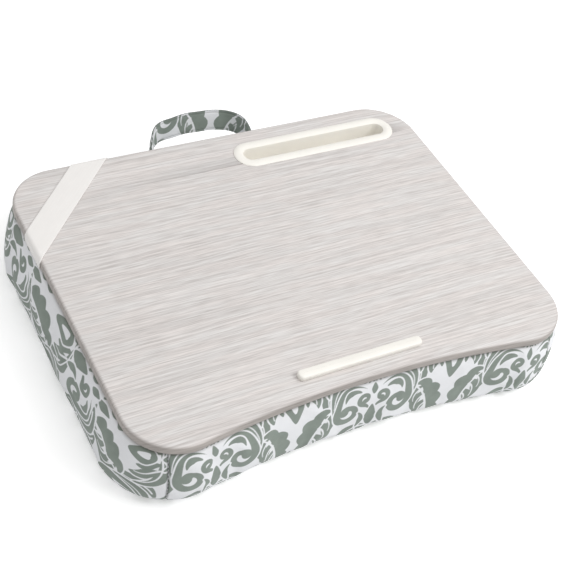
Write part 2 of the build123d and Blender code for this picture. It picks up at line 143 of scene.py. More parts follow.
class StrapSizes(bpy.types.PropertyGroup):
    """The elastic strap across the back left corner."""

    width: length("Width", "Width of the elastic", 27 * mm)
    thickness: length("Thickness", "Thickness of the elastic", 1.0 * mm)
    side_setback: length(
        "Back place", "Middle of the strap on the back edge, from the left side", 91.75 * mm
    )
    back_setback: length("Left place", "Middle of the strap on the left edge, from the back", 96.9 * mm)
    tuck: length("Tuck", "Length turned in under the board", 11 * mm)
    rib: length("Rib", "Spacing of the woven ribs, drawn coarse enough to show", 1.5 * mm)
    elastic: colour("Elastic", "Off-white of the elastic", "#F3F0ED")


class CushionSizes(bpy.types.PropertyGroup):
    """The stuffed cushion's form and its cloth."""

    height: length("Height", "Cushion from the table to the board", core_low.z)
    side_belly: length("Side belly", "How far the sides stand outside the board", 12 * mm)
    front_belly: length("Front belly", "How far the front stands outside the board", 5.5 * mm)
    back_belly: length("Back belly", "How far the back stands outside the board", 8 * mm)
    corner_ease: length("Corner ease", "Wider front corner radius at the belly", 15.5 * mm)
    back_ease: length("Back corner ease", "Wider back corner radius at the belly", 27 * mm)
    foot: length("Foot", "Radius round the foot", 15 * mm)
    foot_cut: length("Foot cut", "How much the foot is pressed flat", 0.5 * mm)
    tuck: length("Top tuck", "How far the cloth draws in under the board", 3 * mm)
    hem: length("Hem", "Cloth turned in under the board", 9 * mm)
    seam_height: length("Bottom seam", "Height of the seam round the bottom", 4.5 * mm)
    seam_angle: tilt(
        "Seam angle", "How far the front and back panels wrap round their corners", radians(28)
    )
    seam_lean: share("Seam lean", "Share of the seam angle that the belly takes back", 0.18)
    belly_start: share("Belly start", "Share of the height where the wall starts to draw in", 0.2)
    belly_power: share("Belly power", "How late and sharply the wall draws in", 2.85)
    channel_width: length("Channel width", "Width of the channel under the middle", 40 * mm)
    channel_depth: length("Channel depth", "Height of the channel under the middle", 11 * mm)
    channel_length: length("Channel length", "Length of the channel, front to back", 230 * mm)
    mesh_step: length("Mesh step", "Distance between the cloth's points", 0.75 * mm)
    puff: length("Puff", "How far the settling cloth may move", 2.6 * mm)


class PrintSizes(bpy.types.PropertyGroup):
    """The damask print on the cushion's cloth."""

    repeat: length("Repeat", "Width of one repeat", 160 * mm)
    drop: length("Drop", "Height of one repeat, half of which each next column drops", 150 * mm)
    front_phase: length("Front phase", "Medallion's place right of the front's middle", 7.5 * mm)
    height_phase: length("Height phase", "Height of the medallion's middle up the wall", 45 * mm)
    ground: colour("Ground", "Pale cloth between the print", "#EFF0F3")
    ink: colour("Ink", "Grey green of the print", "#858F87")
    weave: length("Weave", "Thread spacing, drawn coarse enough to show", 1.3 * mm)


class HandleSizes(bpy.types.PropertyGroup):
    """The cloth handle behind the cushion."""

    span: length("Span", "Distance between the sewn ends", 112 * mm)
    reach: length("Reach", "How far the band stands behind its hinge line", 30.5 * mm)
    width: length("Width", "Width of the band", 24 * mm)
    root_width: length("Root width", "Width of the gathered ends", 13 * mm)
    thickness: length("Thickness", "Thickness of the folded band", 2.5 * mm)
    corner: length("Corner", "Radius where the band turns across", 28 * mm)
    rise: tilt("Rise", "How steeply the band stands up", radians(13))
    lean: tilt("Lean", "How far the band's top edge leans back", radians(12))


class StageLook(bpy.types.PropertyGroup):
    """The camera, the lamps and the floor."""

    aim: FloatVectorProperty(
        name="Aim", description="Point on the board's top that the camera looks at",
        default=(-21.886 * mm, -40.087 * mm, film_high.z), subtype="TRANSLATION", size=3,
    )
    distance: length("Distance", "Camera from the aim", 1126.95 * mm)
    yaw: tilt("Yaw", "Turn to the left of front", -0.6465)
    pitch: tilt("Pitch", "Height angle", 0.7841)
    roll: tilt("Roll", "Camera's own tilt", 0.2343)
    focal_pixels: share("Focal pixels", "Focal length in pixels of the square image", 1225.43)
    key_power: share("Key power", "Watts of the large lamp at the right", 27.5)
    fill_power: share("Fill power", "Watts of the wide lamp overhead", 6.5)
    sky: share("Sky", "Strength of the even light from all round", 0.58)
    floor: colour("Floor", "Colour of the floor", "#F4F4F4")


groups = {
    "tray_board": BoardSizes,
    "tray_moulding": MouldingSizes,
    "tray_strap": StrapSizes,
    "tray_cushion": CushionSizes,
    "tray_print": PrintSizes,
    "tray_handle": HandleSizes,
    "tray_stage": StageLook,
}


def configured(thing, **settings):
    """Sets some of a thing's own settings and gives it back."""
    for key, value in settings.items():
        setattr(thing, key, value)
    return thing


# Meshes

def grid_faces(points, closed=False):
    """Four-sided faces of a grid of points. They face out where rows climb and columns run
    round the object against the clock, seen from above."""
    rows, columns = points.shape[:2]
    index = np.arange(rows * columns).reshape(rows, columns)
    if closed:
        index = np.concatenate([index, index[:, :1]], axis=1)
    corners = (index[:-1, :-1], index[:-1, 1:], index[1:, 1:], index[1:, :-1])
    return np.stack(corners, axis=-1).reshape(-1, 4)


def end_caps(points):
    """One face at the foot of a closed grid, and one at its top."""
    rows, columns = points.shape[:2]
    rim = np.arange(columns)[None, :]
    return [rim[:, ::-1], rim + (rows - 1) * columns]


def make_piece(name, points, faces, material, uv=None, values=None):
    """A shown mesh from arrays: points (n, 3), faces as a list of index arrays, uv (n, 2)
    and values {attribute: (n,)} for each point."""
    points = np.ascontiguousarray(points, np.float32).reshape(-1, 3)
    mesh = bpy.data.meshes.new(name)
    mesh.vertices.add(len(points))
    mesh.vertices.foreach_set("co", points.ravel())
    corners = np.concatenate([np.asarray(group).ravel() for group in faces]).astype(np.int32)
    sizes = np.concatenate([np.full(len(group), np.asarray(group).shape[1]) for group in faces])
    mesh.loops.add(len(corners))
    mesh.loops.foreach_set("vertex_index", corners)
    mesh.polygons.add(len(sizes))
    starts = np.concatenate([[0], np.cumsum(sizes)[:-1]]).astype(np.int32)
    mesh.polygons.foreach_set("loop_start", starts)
    mesh.polygons.foreach_set("use_smooth", np.ones(len(sizes), bool))
    if uv is not None:
        layer = mesh.uv_layers.new(name="cut")
        layer.uv.foreach_set("vector", uv.reshape(-1, 2)[corners].astype(np.float32).ravel())
    for key, value in (values or {}).items():
        data = mesh.attributes.new(key, "FLOAT", "POINT").data
        data.foreach_set("value", value.ravel().astype(np.float32))
    mesh.update(calc_edges=True)
    if mesh.validate():
        raise RuntimeError(f"{name} has faces that are not valid")
    piece = bpy.data.objects.new(name, mesh)
    bpy.context.scene.collection.objects.link(piece)
    mesh.materials.append(material)
    return piece


def outline_rows(counts, stretches):
    """x and y of points all round an outline, as rows and columns."""
    parts = [
        stretch(np.linspace(0, 1, count, endpoint=False)) for count, stretch in zip(counts, stretches)
    ]
    return [np.concatenate([part[axis] for part in parts], axis=1) for axis in (0, 1)]


def arc(x, y, radius, start, end):
    """Stretch of a circle between two angles, for shares from 0 to 1."""

    def place(shares):
        angle = start + (end - start) * shares
        return x + radius * np.cos(angle), y + radius * np.sin(angle)

    return place


def run(x0, y0, x1, y1):
    """Straight stretch between two points, for shares from 0 to 1."""

    def place(shares):
        return x0 + (x1 - x0) * shares, y0 + (y1 - y0) * shares

    return place


def tray_stretches(board, cushion, seam, belly, inset):
    """Twelve stretches of the tray's outline, against the clock from the front left corner
    seam: straight back and sides, round corners, and a hollow front arc that meets its
    corners in tangency. Each panel of the cushion's wall takes three of them. belly is
    the share of the cushion's belly that stands outside the board."""
    x_side = board.width / 2 + cushion.side_belly * belly - inset
    y_back = board.depth / 2 + cushion.back_belly * belly - inset
    y_front = -board.depth / 2 - cushion.front_belly * belly + inset
    r_back = board.back_corner + cushion.back_ease * belly - inset
    r_front = board.front_corner + cushion.corner_ease * belly - inset
    reach = x_side - r_front
    r_hollow = (reach**2 + board.hollow**2) / (2 * board.hollow) - r_front
    y_hollow = y_front + board.hollow - r_hollow
    y_corner = y_front + r_front
    lean = np.arctan2(reach, y_corner - y_hollow)
    x_turn, y_turn = x_side - r_back, y_back - r_back
    quarter = pi / 2
    return [
        arc(-reach, y_corner, r_front, -quarter - seam, -quarter + lean),
        arc(0 * x_side, y_hollow, r_hollow, quarter + lean, quarter - lean),
        arc(reach, y_corner, r_front, -quarter - lean, -quarter + seam),
        arc(reach, y_corner, r_front, -quarter + seam, 0),
        run(x_side, y_corner, x_side, y_turn),
        arc(x_turn, y_turn, r_back, 0, quarter - seam),
        arc(x_turn, y_turn, r_back, quarter - seam, quarter),
        run(x_turn, y_back, -x_turn, y_back),
        arc(-x_turn, y_turn, r_back, quarter, quarter + seam),
        arc(-x_turn, y_turn, r_back, quarter + seam, pi),
        run(-x_side, y_turn, -x_side, y_corner),
        arc(-reach, y_corner, r_front, pi, pi + quarter - seam),
    ]


def stretch_counts(stretches, step):
    """How many points each stretch takes at about one step apart."""
    counts = []
    for stretch in stretches:
        x, y = stretch(np.linspace(0, 1, 60)[None, :])
        counts.append(max(4, round(float(np.hypot(np.diff(x), np.diff(y)).sum()) / step)))
    return counts


def level(value):
    """A column of one value for each row of a grid."""
    return np.asarray(value, float).reshape(-1, 1)


def level_rings(x, y, z):
    """Points of level rings: x and y in rows and columns, and a z for each row."""
    return np.stack([x, y, level(z) + 0 * x], axis=-1)


def slot_rings(moulding, radius, z, columns):
    """Level rings round the phone slot, with straight sides and round ends, one for each
    radius and z."""
    centre = (insert_low + insert_high) / 2
    half_straight = (insert_high.x - insert_low.x) / 2 - moulding.flange - moulding.pocket_width / 2
    straight = columns // 4
    turn = columns // 2 - straight
    angle = np.concatenate([
        np.linspace(-pi / 2, pi / 2, turn, endpoint=False), np.full(straight, pi / 2),
        np.linspace(pi / 2, 3 * pi / 2, turn, endpoint=False), np.full(straight, 3 * pi / 2),
    ])
    slide = np.concatenate([
        np.ones(turn), np.linspace(1, -1, straight, endpoint=False),
        -np.ones(turn), np.linspace(-1, 1, straight, endpoint=False),
    ])
    x = centre.x + slide * half_straight + level(radius) * np.cos(angle)
    y = centre.y + level(radius) * np.sin(angle)
    return level_rings(x, y, z)


def sweep_arc(start, end, count):
    """Angles from start to end in degrees, as radians."""
    return np.radians(np.linspace(start, end, count))


def arc_points(x, y, radius, turn):
    """Points on a circle about (x, y), at the angles turn."""
    return np.column_stack([x + radius * np.cos(turn), y + radius * np.sin(turn)])


def round_over(radius, top):
    """Inset and height along a quarter round edge, from the side up to the top."""
    turn = sweep_arc(0, 90, 9)
    return radius * (1 - np.cos(turn)), top - radius * (1 - np.sin(turn))


def lengths_along(line):
    """Length along a line of points, from its first point to each."""
    return np.concatenate([[0], np.cumsum(np.linalg.norm(np.diff(line, axis=0), axis=1))])


def unit(vectors):
    """The same directions at length 1."""
    return vectors / np.maximum(np.linalg.norm(vectors, axis=-1, keepdims=True), 1e-12)


def line_at(values, place, wide):
    """1 where the values are at a place, falling to 0 on both sides of it."""
    return np.exp(-((values - place) / wide) ** 2)


# Materials

def new_material(name):
    """An empty node material and its tree."""
    material = bpy.data.materials.new(name)
    material.use_nodes = True
    material.node_tree.nodes.clear()
    return material, material.node_tree


def node(tree, kind, inputs=None, output=0, **settings):
    """Adds a node with its own settings and gives one of its outputs. An input is a value,
    or another node's socket, which is linked to it. A colour takes full opacity."""
    made = configured(tree.nodes.new("ShaderNode" + kind), **settings)
    for key, value in (inputs or {}).items():
        socket = made.inputs[key]
        if isinstance(value, bpy.types.NodeSocket):
            tree.links.new(value, socket)
        else:
            socket.default_value = (*value[:3], 1.0) if socket.type == "RGBA" else value
    return made.outputs[output] if made.outputs else None


# A Mix node with these settings turns its colour 6 into its colour 7 by its factor 0
mix_colours = {"output": 2, "data_type": "RGBA"}


def patches(tree, place, size, detail=3.0, roughness=0.5, low=0.3, high=0.7, ends=(0.0, 1.0)):
    """Cloudy patches that measure size (x, y, z) in metres: noise on places divided by the
    size, whose values from low to high are spread between two ends."""
    divided = node(tree, "Mapping", {"Vector": place, "Scale": [1 / side for side in size]})
    clouds = node(tree, "TexNoise", {
        "Vector": divided, "Scale": 1.0, "Detail": detail, "Roughness": roughness,
    })
    return node(tree, "MapRange", {
        "Value": clouds, "From Min": low, "From Max": high, "To Min": ends[0], "To Max": ends[1],
    })


def ribs_both_ways(tree, place, spacing_x, spacing_y):
    """Round ribs across the x direction of a place and across its y direction, each
    running from 0 in its valleys to 1 on its crests."""
    return [
        node(tree, "TexWave", {"Vector": place, "Scale": pi / (10 * spacing)}, 1, bands_direction=way)
        for spacing, way in ((spacing_x, "X"), (spacing_y, "Y"))
    ]


def weighted_sum(tree, *parts):
    """The sum of some values, each times its weight."""
    total = 0.0
    for value, weight in parts:
        total = node(tree, "Math", {0: value, 1: weight, 2: total}, operation="MULTIPLY_ADD")
    return total


def seen_by(tree, *rays):
    """1 for a ray of one of the kinds named, and 0 for any other."""
    seen = 0.0
    for ray in rays:
        kind = node(tree, "LightPath", output=ray)
        seen = node(tree, "Math", {0: kind, 1: seen}, operation="MAXIMUM")
    return seen


def finish_material(material, inputs, height=None, depth=0.0, strength=0.0):
    """The surface shader and output. height, where given, stands depth proud."""
    tree = material.node_tree
    if height is not None:
        bump = node(tree, "Bump", {"Height": height, "Distance": depth, "Strength": strength})
        inputs = {**inputs, "Normal": bump}
    node(tree, "OutputMaterial", {"Surface": node(tree, "BsdfPrincipled", inputs)})
    return material


def shade(colour_value, factor):
    """A colour made lighter or darker by a factor."""
    return tuple(min(1.0, part * factor) for part in colour_value[:3])


def printed_wood_film(board):
    """Decor paper laminate, printed and hot pressed: fine wavy grey-brown lines along the
    board on a cool pale ground, with painted shade that darkens the film down its rounded
    edge, and a low silky gloss that the lines break up."""
    material, tree = new_material("printed_wood_film")
    gap, reach = board.grain_gap, board.grain_run
    flat = node(tree, "UVMap", uv_map="cut")
    sway = patches(tree, flat, (1.5 * reach, 25 * gap, 1), 1.0, 0.5, 0, 1, (0, 2.5 * gap))
    wavy = node(tree, "VectorMath", {0: flat, 1: node(tree, "CombineXYZ", {"Y": sway})})
    lines = patches(tree, wavy, (1.8 * reach, 0.9 * gap, 1), 2.0, 0.6, 0.38, 0.60)
    fine = patches(tree, wavy, (0.17 * reach, 0.36 * gap, 1), 2.0, 0.55, 0.36, 0.62)
    bands = patches(tree, wavy, (3.0 * reach, 9 * gap, 1), 2.0, 0.5, 0.35, 0.65)
    grain = weighted_sum(tree, (lines, 0.44), (fine, 0.47), (bands, 0.09))
    warmth = patches(tree, wavy, (0.5 * reach, 5 * gap, 1), 1.0, 0.5, 0.4, 0.6)
    tints = ((0.985, 1, 1), (1, 0.982, 0.97))
    cool, warm = ([part * k for part, k in zip(board.pale, tint)] for tint in tints)
    pale = node(tree, "Mix", {0: warmth, 6: cool, 7: warm}, **mix_colours)
    body = node(tree, "Mix", {0: grain, 6: board.dark, 7: pale}, **mix_colours)
    # painted shade: down the edge the grain colours give way to the darker edge tone
    edge = {0: grain, 6: shade(board.edge, 0.7), 7: shade(board.edge, 1.1)}
    painted_edge_shade = node(tree, "Mix", edge, **mix_colours)
    around = node(tree, "Attribute", output="Fac", attribute_name="edge")
    mixed = node(tree, "Mix", {0: around, 6: body, 7: painted_edge_shade}, **mix_colours)
    gloss = node(tree, "MapRange", {
        "Value": grain, "From Min": 0.2, "From Max": 0.8, "To Min": 0.56, "To Max": 0.44,
    })
    return finish_material(
        material, {"Base Color": mixed, "Roughness": gloss, "IOR": 1.5}, grain, 0.05 * mm, 0.2
    )


def damask_canvas(cloth_print):
    """Cotton canvas, plain woven and screen printed: a cool white ground with matt
    grey-green shapes whose edges follow the threads, soft light at grazing angles, and
    the shade of folds that close on themselves at seams and hems."""
    material, tree = new_material("damask_canvas")
    white, green = cloth_print.ground, cloth_print.ink
    place = node(tree, "UVMap", uv_map="cut")
    across, up = ribs_both_ways(tree, place, cloth_print.weave, cloth_print.weave)
    weave = node(tree, "Math", {0: across, 1: up}, operation="MULTIPLY")
    fray = patches(tree, place, (0.9 * mm, 0.9 * mm, 1), 1.0, 0.5, 0, 1, (-0.175, 0.175))
    distance = node(tree, "Attribute", output="Fac", attribute_name="print_mm")
    printed = node(tree, "MapRange", {
        "Value": node(tree, "Math", {0: distance, 1: fray}),
        "From Min": -0.32, "From Max": 0.32, "To Min": 1.0, "To Max": 0.0,
    })
    mottle = patches(tree, place, (14 * mm, 14 * mm, 1))
    ink = node(tree, "Mix", {0: mottle, 6: shade(green, 0.9), 7: shade(green, 1.08)}, **mix_colours)
    ground = node(tree, "Mix", {0: mottle, 6: shade(white, 0.96), 7: white}, **mix_colours)
    body = node(tree, "Mix", {0: printed, 6: ground, 7: ink}, **mix_colours)
    threads = node(tree, "Mix", {0: weave, 6: shade(green, 0.75), 7: body}, **mix_colours)
    mixed = node(tree, "Mix", {0: 0.93, 6: threads, 7: body}, **mix_colours)
    # painted shade: the crease attribute darkens the cloth at seams, under the board and along folded
    # edges
    crease = node(tree, "Attribute", output="Fac", attribute_name="crease")
    folded = node(tree, "Math", {0: crease, 1: 0.8}, operation="MULTIPLY")
    mixed = node(tree, "Mix", {0: folded, 6: mixed, 7: shade(green, 0.22)}, **mix_colours)
    return finish_material(
        material,
        {"Base Color": mixed, "Roughness": 0.86, "Sheen Weight": 0.12, "Sheen Roughness": 0.5},
        weave, 0.22 * mm, 0.35,
    )


def moulded_abs(moulding):
    """ABS, injection moulded in a fine spark-eroded tool: creamy white with a broad soft
    highlight and a barely grained skin."""
    material, tree = new_material("moulded_abs")
    cream = moulding.plastic
    place = node(tree, "TexCoord", output="Object")
    flow = patches(tree, place, [30 * mm] * 3, 2.0)
    skin = patches(tree, place, [0.8 * mm] * 3, 2.0, 0.5, 0, 1)
    body = node(tree, "Mix", {0: flow, 6: shade(cream, 0.965), 7: cream}, **mix_colours)
    gloss = node(tree, "MapRange", {"Value": flow, "To Min": 0.34, "To Max": 0.42})
    return finish_material(
        material, {"Base Color": body, "Roughness": gloss, "IOR": 1.53}, skin, 0.04 * mm, 0.3
    )


def woven_elastic(strap):
    """Woven polyester elastic: off-white with fine ribs across, faint lines along from its
    rubber cords and a slight silk shine."""
    material, tree = new_material("woven_elastic")
    white = strap.elastic
    place = node(tree, "UVMap", uv_map="cut")
    across, along = ribs_both_ways(tree, place, strap.rib, 1.8 * strap.rib)
    ribs = weighted_sum(tree, (across, 0.8), (along, 0.2))
    wear = patches(tree, place, (22 * mm, 7 * mm, 1), ends=(0.0, 0.4))
    body = node(tree, "Mix", {0: ribs, 6: shade(white, 0.93), 7: white}, **mix_colours)
    body = node(tree, "Mix", {0: wear, 6: body, 7: shade(white, 0.9)}, **mix_colours)
    return finish_material(
        material, {"Base Color": body, "Roughness": 0.6, "Sheen Weight": 0.2, "Sheen Roughness": 0.4},
        ribs, 0.1 * mm, 0.35,
    )


def fibreboard():
    """Medium-density fibreboard, pressed and sawn: warm brown with short matted fibres."""
    material, tree = new_material("fibreboard")
    place = node(tree, "TexCoord", output="Object")
    fibres = patches(tree, place, (2.2 * mm, 0.7 * mm, 0.5 * mm), 4.0, 0.6, 0.32, 0.68)
    body = node(tree, "Mix", {0: fibres, 6: linear("#8E6B4A"), 7: linear("#B8946C")}, **mix_colours)
    return finish_material(material, {"Base Color": body, "Roughness": 0.82}, fibres, 0.15 * mm, 0.4)


def zinc_plated_steel():
    """Mild steel, zinc plated: blue-white metal with cloudy gloss."""
    material, tree = new_material("zinc_plated_steel")
    cloud = patches(tree, node(tree, "TexCoord", output="Object"), [1.5 * mm] * 3)
    body = node(tree, "Mix", {0: cloud, 6: linear("#B4B8BC"), 7: linear("#D3D6D8")}, **mix_colours)
    gloss = node(tree, "MapRange", {"Value": cloud, "To Min": 0.24, "To Max": 0.42})
    return finish_material(
        material, {"Base Color": body, "Metallic": 1.0, "Roughness": gloss}, cloud, 0.02 * mm, 0.2
    )


def plain_weave(name, pale, dark, spacing):
    """Plain-woven cotton or polyester on object coordinates: crossing threads, drawn coarser
    than real ones so that they show, with the slight streaks of uneven yarn."""
    material, tree = new_material(name)
    place = node(tree, "TexCoord", output="Object")
    across, up = ribs_both_ways(tree, place, spacing, spacing)
    threads = node(tree, "Math", {0: across, 1: up}, operation="MULTIPLY")
    streaks = patches(tree, place, (60 * mm, 1.2 * mm, 3 * mm))
    body = node(tree, "Mix", {0: streaks, 6: dark, 7: pale}, **mix_colours)
    crests = node(tree, "Math", {0: threads, 1: 0.3}, operation="MULTIPLY")
    body = node(tree, "Mix", {0: crests, 6: body, 7: shade(dark, 0.8)}, **mix_colours)
    return finish_material(
        material, {"Base Color": body, "Roughness": 0.9, "Sheen Weight": 0.1, "Sheen Roughness": 0.5},
        threads, 0.2 * mm, 0.4,
    )


def bead_bag_cloth():
    """Spunbond polypropylene filled with polystyrene beads: white non-woven cloth that
    the beads push into small round bumps."""
    material, tree = new_material("bead_bag_cloth")
    place = node(tree, "TexCoord", output="Object")
    bead = 4 * mm
    beads = node(tree, "TexVoronoi", {"Vector": place, "Scale": 1 / bead})
    bumps = node(tree, "Math", {0: 1.0, 1: beads}, operation="SUBTRACT")
    fibres = patches(tree, place, (5 * mm, 0.6 * mm, 0.6 * mm))
    body = node(tree, "Mix", {0: fibres, 6: linear("#DADDE0"), 7: linear("#F2F3F4")}, **mix_colours)
    return finish_material(material, {"Base Color": body, "Roughness": 0.7}, bumps, 0.8 * mm, 0.5)


def studio_floor(floor):
    """Matt painted board: pale, even, and white to the camera except where it is shaded,
    with more of its own light far from the tray, where the lamps fall off."""
    material, tree = new_material("studio_floor")
    place = node(tree, "TexCoord", output="Object")
    away = node(tree, "VectorMath", {0: place}, "Value", operation="LENGTH")
    fade = node(tree, "MapRange", {
        "Value": away, "From Min": 0.5, "From Max": 1.5, "To Min": 0.35, "To Max": 0.8,
    })
    direct = seen_by(tree, "Is Camera Ray", "Is Glossy Ray", "Is Transmission Ray")
    glow = node(tree, "Math", {0: direct, 1: fade}, operation="MULTIPLY")
    return finish_material(material, {
        "Base Color": floor, "Roughness": 0.9,
        "Emission Color": (1.0, 1.0, 1.0), "Emission Strength": glow,
    })


# The print

def bezier(points, shares):
    """Points along a Bezier curve, by de Casteljau's rule on whole arrays."""
    layer = np.repeat(np.asarray(points, float)[:, None, :], len(shares), axis=1)
    while len(layer) > 1:
        layer = layer[:-1] + (layer[1:] - layer[:-1]) * shares[None, :, None]
    return layer[0]


def swell(shares, peak):
    """0 at both ends and 1 at the share peak, as a leaf's half width goes."""
    rise = np.clip(shares / peak, 0, 1) ** 0.6
    fall = np.clip((1 - shares) / (1 - peak), 0, 1) ** 0.7
    return np.minimum(rise, fall)


class DamaskField:
    """Signed distance in mm to the printed shapes, below zero where the cloth is printed,
    on the half column of one repeat that the mirror lines leave. A stroke is the distance
    to the nearest segment of its path, less the half width there. Each printed shape
    first clears a pale line round itself, so that shapes which cross stay apart."""

    reach = 4.0
    step = 0.5

    def __init__(self, repeat, drop):
        self.width, self.height = repeat / (2 * mm), drop / mm
        self.x = np.arange(0, self.width + self.step, self.step)
        self.y = np.arange(0, self.height, self.step)
        self.field = np.full((len(self.x), len(self.y)), self.reach)
        middle = self.height / 2
        self.copies = [(0, k * self.height, 1) for k in (-1, 0, 1)]
        self.copies += [(self.width, middle + k * self.height, -1) for k in (-1, 0, 1)]
        self.draw_medallion()

    def stroke(self, path, half, halo):
        """Adds the grid's distance to a stroke: printed with a pale line halo wide round
        it, or cleared where halo is below zero."""
        room = half.max() + self.reach
        for centre_x, centre_y, mirror in self.copies:
            placed = path * (mirror, 1) + (centre_x, centre_y)
            low, high = placed.min(0) - room, placed.max(0) + room
            ix = slice(*np.searchsorted(self.x, (low[0], high[0])))
            iy = slice(*np.searchsorted(self.y, (low[1], high[1])))
            if ix.stop <= ix.start or iy.stop <= iy.start:
                continue
            px = self.x[ix][:, None, None] - placed[:-1, 0]
            py = self.y[iy][None, :, None] - placed[:-1, 1]
            run_x, run_y = np.diff(placed, axis=0).T
            along = (px * run_x + py * run_y) / np.maximum(run_x**2 + run_y**2, 1e-9)
            along = np.clip(along, 0, 1)
            near = np.hypot(px - along * run_x, py - along * run_y)
            near = (near - half[:-1] - along * np.diff(half)).min(axis=2)
            patch = self.field[ix, iy]
            if halo is None:
                self.field[ix, iy] = np.minimum(patch, near)
            else:
                self.field[ix, iy] = np.maximum(patch, halo - near)

    def shape(self, lobes, veins=(), halo=1.6):
        """One printed shape: lobes that run together, each a Bezier curve with its half
        width and where that peaks, and pale veins that thin towards their ends."""
        shares = np.linspace(0, 1, 26)
        for step in (halo, None):
            for points, half, peak in lobes:
                self.stroke(bezier(points, shares), 0.15 + half * swell(shares, peak), step)
        for points, half in veins:
            self.stroke(bezier(points, shares), half * (1.0 - 0.5 * shares), 0.0)

    def volute(self, lead, centre, start, turns, outer, inner, half, bulb, halo=1.6):
        """A scroll: a lead along a Bezier curve, then a spiral about its centre whose
        radius runs from outer to inner, ending in a bulb, with a pale line inside."""
        shares = np.linspace(0, 1, 36)
        angle = start + 2 * pi * turns * shares
        radius = outer + (inner - outer) * shares**0.85
        spiral = np.asarray(centre) + np.stack([np.cos(angle), np.sin(angle)], 1) * radius[:, None]
        away = spiral[0] - spiral[1]
        head = bezier([*lead, spiral[0] + 4 * away, spiral[0]], shares)
        path = np.concatenate([head, spiral[1:]])
        width = np.concatenate([0.2 + (half - 0.2) * shares**0.8, half * (1 - 0.3 * shares[1:])])
        width[-8:] += bulb * np.linspace(0, 1, 8) ** 0.6
        self.stroke(path, width, halo)
        self.stroke(path, width, None)

    def draw_medallion(self):
        """One side of a medallion about its upright axis, in mm from its middle, and
        what stands above it: a palmette, a broad lobed leaf and a hanging drop."""
        shape, volute = self.shape, self.volute
        # outer leaf that holds the medallion, from its top down to its tip
        shape([([(30, 47), (50, 46), (54, 20), (43, -8)], 6.2, 0.42)],
              [([(37, 45), (47, 40), (50, 24), (45, 8)], 0.9)])
        # leaf under the medallion, hung outwards
        shape([
            ([(1, -24), (14, -20), (32, -22), (34, -48)], 5.8, 0.5),
            ([(14, -24), (17, -36), (25, -42), (22, -53)], 5.4, 0.5),
            ([(6, -24), (7, -34), (14, -38), (12, -48)], 4.6, 0.5),
        ], [
            ([(2, -23), (14, -21), (29, -25), (32, -44)], 1.05),
            ([(13, -25), (17, -34), (22, -38), (21, -48)], 1.0),
        ])
        # broad leaf above: soft bumps towards the drop, lobes with pale veins outside
        shape([
            ([(14, 40), (13, 56), (16, 72), (28, 84)], 6.0, 0.45),
            ([(20, 72), (20, 84), (25, 92), (36, 88)], 5.4, 0.5),
            ([(16, 64), (10, 72), (11, 82), (21, 84)], 5.2, 0.55),
            ([(14, 52), (7, 58), (6, 68), (14, 72)], 5.0, 0.55),
            ([(14, 40), (8, 45), (7, 53), (13, 58)], 4.6, 0.55),
            ([(28, 84), (38, 80), (40, 70), (34, 62)], 4.6, 0.45),
            ([(22, 76), (33, 74), (36, 62), (29, 50)], 5.4, 0.5),
            ([(17, 64), (26, 62), (30, 52), (24, 40)], 5.2, 0.5),
        ], [
            ([(17, 38), (17, 56), (21, 74), (36, 86)], 1.5),
            ([(23.5, 72), (29, 70), (32, 62), (29, 53)], 1.0),
            ([(20.5, 59.5), (24, 57), (26, 50), (23, 43)], 1.0),
            ([(29.5, 80.5), (34, 78), (36, 71), (34, 65)], 0.9),
        ])
        # palmette between the medallion and the broad leaves
        shape([([(4, 32), (13, 34), (22, 37), (21, 48)], 4.2, 0.5)],
              [([(8, 34), (14, 36), (19, 39), (20, 44)], 0.8)])
        shape([([(0, 29), (0, 38), (0, 50)], 3.8, 0.5)])
        # band and crescent over the great scroll
        shape([([(8, 32), (22, 43), (47, 42), (41, 0)], 6.0, 0.5)],
              [([(13, 34), (24, 40), (41, 38), (42, 12)], 0.95)])
        # the great scroll, the small scroll, the almond and the lozenge
        volute([(8, 25), (22, 37), (36, 30)], (25.5, 1.0), 0.16 * pi, -1.02, 13.4, 4.6, 3.8, 2.4)
        shape([([(13, 21.5), (20, 27), (29, 24), (29, 14)], 3.4, 0.5)])
        volute([(1.5, -4), (4, 4)], (9.0, 13.0), -0.4 * pi, 0.92, 6.6, 2.6, 2.6, 1.1, 1.3)
        shape([([(0, -22), (0, -9), (0, 4)], 6.0, 0.42)])
        shape([([(13, -22), (9, -14), (8, -8), (14, -2)], 3.0, 0.4)])
        shape([([(0, 17), (0, 23), (0, 30)], 3.2, 0.45)])
        # hanging drop with a pale heart
        shape([([(0, 120), (0, 106), (0, 87)], 9.4, 0.38)])
        shape([], [([(1.2, 112), (2.0, 107), (0, 100)], 2.2)])

    def at(self, s, t):
        """The distance at places s along the cloth and t up it, in metres, folded at the
        mirror lines and read between its four nearest grid points."""
        x = np.abs((s / mm / self.width + 1) % 2 - 1) * self.width / self.step
        y = (t / mm % self.height) / self.step
        x0 = np.minimum(x.astype(int), len(self.x) - 2)
        y0 = y.astype(int) % len(self.y)
        y1 = (y0 + 1) % len(self.y)
        fx, fy = x - x0, y - np.floor(y)
        low = self.field[x0, y0] * (1 - fx) + self.field[x0 + 1, y0] * fx
        high = self.field[x0, y1] * (1 - fx) + self.field[x0 + 1, y1] * fx
        return low * (1 - fy) + high * fy


damask = {}


def damask_field(cloth_print):
    """The print's field, worked out once for all the pieces that are cut from the cloth."""
    key = (cloth_print.repeat, cloth_print.drop)
    if key not in damask:
        damask[key] = DamaskField(*key)
    return damask[key]


def damask_cloth(cloth_print):
    """The printed cloth's one material, made on first use."""
    return bpy.data.materials.get("damask_canvas") or damask_canvas(cloth_print)


# The cushion

def belly_share(cushion, z):
    """Share of the full belly at heights z: whole low down, and drawn in under the board
    with a power of the height."""
    drawn = np.clip((z / cushion.height - cushion.belly_start) / (1 - cushion.belly_start), 0, 1)
    return 1 - drawn**cushion.belly_power


